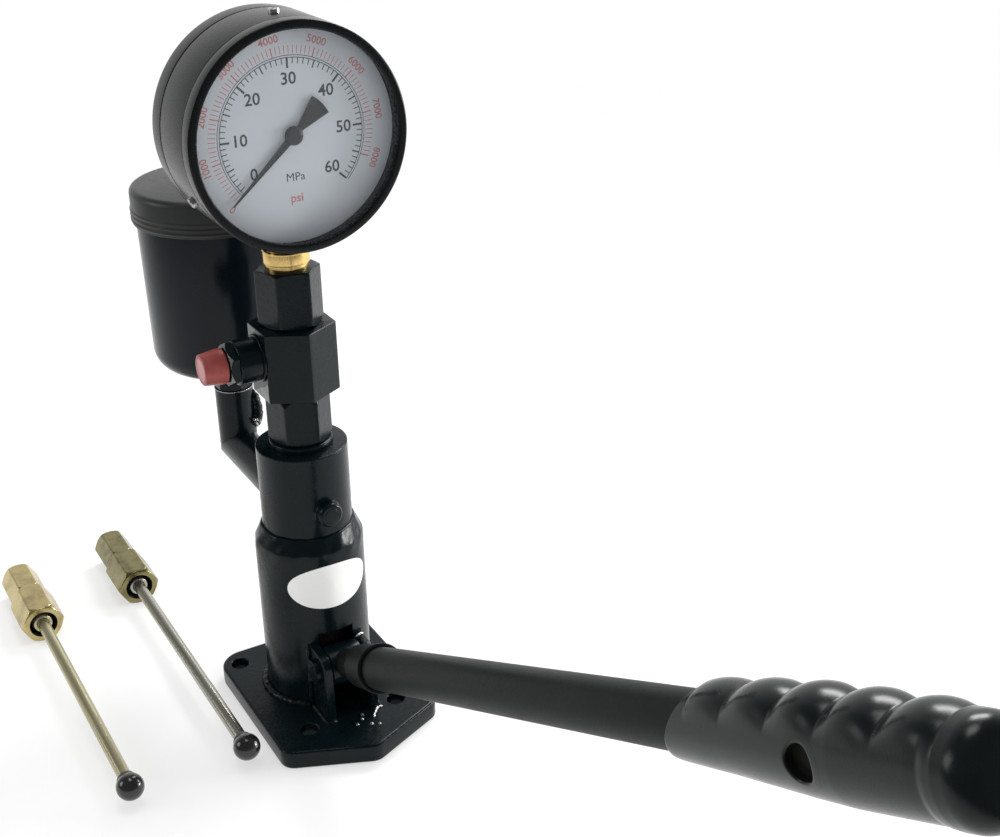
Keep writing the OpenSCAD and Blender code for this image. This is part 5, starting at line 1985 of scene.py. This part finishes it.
class Pipe:
    """Loose pipe with nuts, sleeve and ball cap.

    Args:
        bench: Where pieces go.
        size: Its sizes.
    """

    HEIGHT = 10.5
    BALL = 6.65
    BORE = 1.25
    TUBE = 3.25
    FLARE = 5.4
    FLARE_AT = 45.9
    REAR_AT = 29.6
    FRONT = HexSize(21.0, 29.0, 2.3, 2.3, low_bore=7.7, high_bore=3.6, crisp=70.0)
    REAR = HexSize(18.0, 28.0, 2.0, 2.0, low_bore=3.6, high_bore=6.2, crisp=70.0)

    def __init__(self, bench: Bench, size: PipeSize) -> None:
        """Keep the bench and sizes."""
        self.bench = bench
        self.size = size

    def along(self, distance: float) -> Array:
        """Placement at a distance from the ball cap, local Z toward the nuts."""
        origin = (self.size.ball - distance, -self.size.y, self.HEIGHT)
        return placement(origin, (0, -1, 0), (0, 0, 1), (-1, 0, 0))

    def build(self) -> None:
        """Make the pipe."""
        name, run, look = self.size.name, self.size.run, self.size.look
        bore, out, flare, end = self.BORE, self.TUBE, self.FLARE, run + self.FLARE_AT
        corners = [
            (bore, -2.0), (out, -2.0), (out, end), (flare, end),
            (flare, end + 2.7), (2.75, end + 6.7), (bore, end + 6.7),
        ]
        tube = ring_lathe(corners, [0.1, 0.5, 0.2, 0.3, 0.3, 0.3, 0.1], 64, 3)
        self.bench.place(f"{name}_bar", tube.moved(self.along(0.0)), look, f"{name}_tube", True)
        corners = [(3.5, 0.6), (5.0, 0.6), (5.8, 3.0), (5.8, 12.0), (3.5, 12.0)]
        sleeve = ring_lathe(corners, [0.2, 0.6, 0.8, 0.2, 0.2], 64)
        self.bench.place(f"{name}_collar", sleeve.moved(self.along(run)), look, f"{name}_sleeve", True)
        nuts = (
            ("front", self.FRONT, run, (self.FRONT.low_bore, 0.0, 12.0)),
            ("rear", self.REAR, run + self.REAR_AT, (self.REAR.high_bore, self.REAR.length, 16.0)),
        )
        for end, size, distance, opening in nuts:
            place, node = self.along(distance), f"{name}_{end}_nut"
            self.bench.place(f"{name}_{end}_hex", hex_bar(size).moved(place), self.size.nuts, node, True)
            # The nut's mouth is lined near black: painted shade.
            self.bench.place(f"{name}_{end}_mouth", self._mouth(*opening).moved(place), Look.HOLLOW, node)
        neck = closed_lathe([(3.4, 6.3), (3.9, 6.9), (4.6, 6.6), (4.7, 4.8)], [0, 0.4, 0.4, 0], 48)
        angle = np.radians(np.linspace(-90, 46, 30))
        sphere = self.BALL * np.column_stack([np.cos(angle), np.sin(angle)])
        sphere[0, 0] = 0.0
        cap = Surface.joined(neck, lathe(sphere, 64))
        self.bench.place(f"{name}_cap", cap.moved(self.along(0.0)), Look.BALL, f"{name}_ball", True)

    @staticmethod
    def _mouth(radius: float, face: float, floor: float) -> Surface:
        """Threaded inside of a nut, painted near black as shade.

        Args:
            radius: Radius of the opening.
            face: Height of the face it opens to.
            floor: Height of its floor.

        Returns:
            The inner wall and floor.
        """
        run = np.linspace(face, floor, 65)[:, None]
        angle = np.linspace(0, TAU, 48, endpoint=False)
        begin = np.clip(np.abs(run - face) / 1.2, 0, 1)
        wall = radius - 0.02 - THREAD_DEPTH * (1 - thread_wave(run, angle)) * begin
        wall = np.vstack([wall, np.full((1, 48), 3.6)])
        points = ring_points(wall, angle, np.vstack([run, [[floor]]]))
        return Surface.grid(points[:, ::-1], wrap_v=True)


@dataclass(frozen=True)
class Lamp:
    """Soft area light, in metres.

    Attributes:
        name: Its name.
        place: Where it stands.
        aim: What it points at.
        size: Its width and height.
        power: Watts.
    """

    name: str
    place: Triple
    aim: Triple
    size: tuple[float, float]
    power: float


class Studio:
    """Camera, light and floor.

    Args:
        paints: Materials.
    """

    EYE = (584.7, -226.5, 454.3)
    FORWARD = np.array([-0.7805, 0.4518, -0.4321])
    ROLL = 0.0148
    LENS = 51.13
    SENSOR = 36.0
    FILL = 0.72
    FLOOR_GLOW = 0.5
    FLOOR_REACH = 4000.0
    FLOOR_LEVEL = -0.05
    NEAREST = 0.01
    WHITE = (1.0, 1.0, 1.0, 1.0)
    LAMPS = (
        Lamp("top_soft", (-0.1, 0.1, 1.5), (0.05, 0.0, 0.15), (0.5, 0.5), 4.0),
        Lamp("left_soft", (-0.5, -1.3, 0.7), (0.0, 0.0, 0.18), (0.6, 0.6), 4.0),
        Lamp("right_window", (0.15, 1.25, 0.36), (0.05, 0.0, 0.15), (0.45, 0.55), 7.0),
        Lamp("small_window", (0.5, 1.17, 0.22), (0.03, 0.01, 0.095), (0.24, 0.2), 6.5),
        Lamp("back_window", (-0.6, 0.9, 1.15), (0.1, 0.0, 0.15), (0.65, 0.38), 13.0),
    )

    def __init__(self, paints: Paintbox) -> None:
        """Keep the materials."""
        self.paints = paints

    def build(self) -> None:
        """Set up the view."""
        self._camera()
        self._floor()
        self._world()
        for lamp in self.LAMPS:
            self._lamp(lamp)
        bpy.context.scene.view_settings.view_transform = "Standard"

    def _camera(self) -> None:
        """Camera at the view of the photograph."""
        forward = self.FORWARD / np.linalg.norm(self.FORWARD)
        right = np.cross(forward, (0.0, 0.0, 1.0))
        right /= np.linalg.norm(right)
        down = np.cross(forward, right)
        cos, sin = math.cos(self.ROLL), math.sin(self.ROLL)
        right, down = cos * right + sin * down, cos * down - sin * right
        data = bpy.data.cameras.new("camera")
        data.lens = self.LENS
        data.sensor_width = self.SENSOR
        data.sensor_fit = "HORIZONTAL"
        data.clip_start = self.NEAREST
        camera = add_object("camera", data)
        place = placement(np.array(self.EYE) * MM, right, -down, -forward)
        camera.matrix_world = Matrix(place.tolist())
        bpy.context.scene.camera = camera

    def _floor(self) -> None:
        """Wide floor just under the part."""
        ends = (-self.FLOOR_REACH, self.FLOOR_REACH)
        points = np.array([[(x, y, self.FLOOR_LEVEL) for x in ends] for y in ends])
        mesh = Surface.grid(points).to_mesh("floor", 30.0)
        mesh.materials.append(self._floor_material())
        floor = add_object("floor", mesh)

    def _floor_material(self) -> bpy.types.Material:
        """Pale floor that fades into the white background.

        Returns:
            The material.
        """
        material = self.paints.get(Look.FLOOR)
        tree = material.node_tree
        start = Value(tree)
        shader = Value(tree, next(node for node in tree.nodes if node.type == "BSDF_PRINCIPLED").outputs[0])
        out = next(node for node in tree.nodes if node.type == "OUTPUT_MATERIAL")
        place = start.make("ShaderNodeTexCoord", {}, "Object")
        far = start.make("ShaderNodeVectorMath", {0: place}, "Value", operation="LENGTH")
        fade = start.make(
            "ShaderNodeMapRange",
            {"Value": far, "From Min": 0.45, "From Max": 1.3, "To Min": 0.0, "To Max": 1.0},
            interpolation_type="SMOOTHSTEP",
        )
        clear = start.make("ShaderNodeBsdfTransparent", {})
        seen, glossy, through = ray_kinds(start)
        white = start.make("ShaderNodeEmission", {"Color": self.WHITE, "Strength": 1.0})
        glow = (seen + glossy + through) * self.FLOOR_GLOW
        paler = start.make("ShaderNodeMixShader", {0: glow, 1: shader, 2: white})
        mixed = start.make("ShaderNodeMixShader", {0: fade, 1: paler, 2: clear})
        tree.links.new(mixed.socket, out.inputs["Surface"])
        return material

    def _world(self) -> None:
        """White backdrop to the eye, softer light on the part."""
        world = bpy.data.worlds.new("studio")
        world.use_nodes = True
        bpy.context.scene.world = world
        tree = world.node_tree
        tree.nodes.clear()
        start = Value(tree)
        seen, glossy, through = ray_kinds(start)
        heading = start.make("ShaderNodeTexCoord", {}, "Generated")
        ahead = start.make(
            "ShaderNodeVectorMath", {0: heading, 1: tuple(self.FORWARD)}, "Value", operation="DOT_PRODUCT"
        )
        backdrop = start.make(
            "ShaderNodeMapRange",
            {"Value": ahead, "From Min": -0.1, "From Max": 0.75, "To Min": 0.14, "To Max": 1.0},
            interpolation_type="SMOOTHSTEP",
        )
        strength = seen + through + glossy * backdrop + (1.0 - seen - through - glossy) * self.FILL
        light = start.make("ShaderNodeBackground", {"Color": self.WHITE, "Strength": strength})
        out = tree.nodes.new("ShaderNodeOutputWorld")
        tree.links.new(light.socket, out.inputs["Surface"])

    @staticmethod
    def _lamp(lamp: Lamp) -> None:
        """Add a lamp.

        Args:
            lamp: Its place and power.
        """
        data = bpy.data.lights.new(lamp.name, "AREA")
        data.shape = "RECTANGLE"
        data.size, data.size_y = lamp.size
        data.energy = lamp.power
        light = add_object(lamp.name, data)
        light.location = lamp.place
        light.rotation_euler = (Vector(lamp.aim) - light.location).to_track_quat("-Z", "Y").to_euler()


def main() -> None:
    """Build the scene."""
    logging.basicConfig(level=logging.INFO, format="%(message)s")
    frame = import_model()
    bench = Bench(frame)
    assemblies = [kind(bench) for kind in (Column, HexStack, Gauge, Reservoir, Lever, Pump)]
    assemblies.append(Pipe(bench, PipeSize("pipe_1", 114.0, 37.0, 159.5, Look.GOLD_PIPE, Look.ZINC)))
    assemblies.append(Pipe(bench, PipeSize("pipe_2", 56.0, 38.0, 170.5, Look.PIPE, Look.DARK_ZINC)))
    for assembly in assemblies:
        assembly.build()
        LOG.info("built %s", type(assembly).__name__)
    Studio(bench.paints).build()


if __name__ == "__main__":
    main()
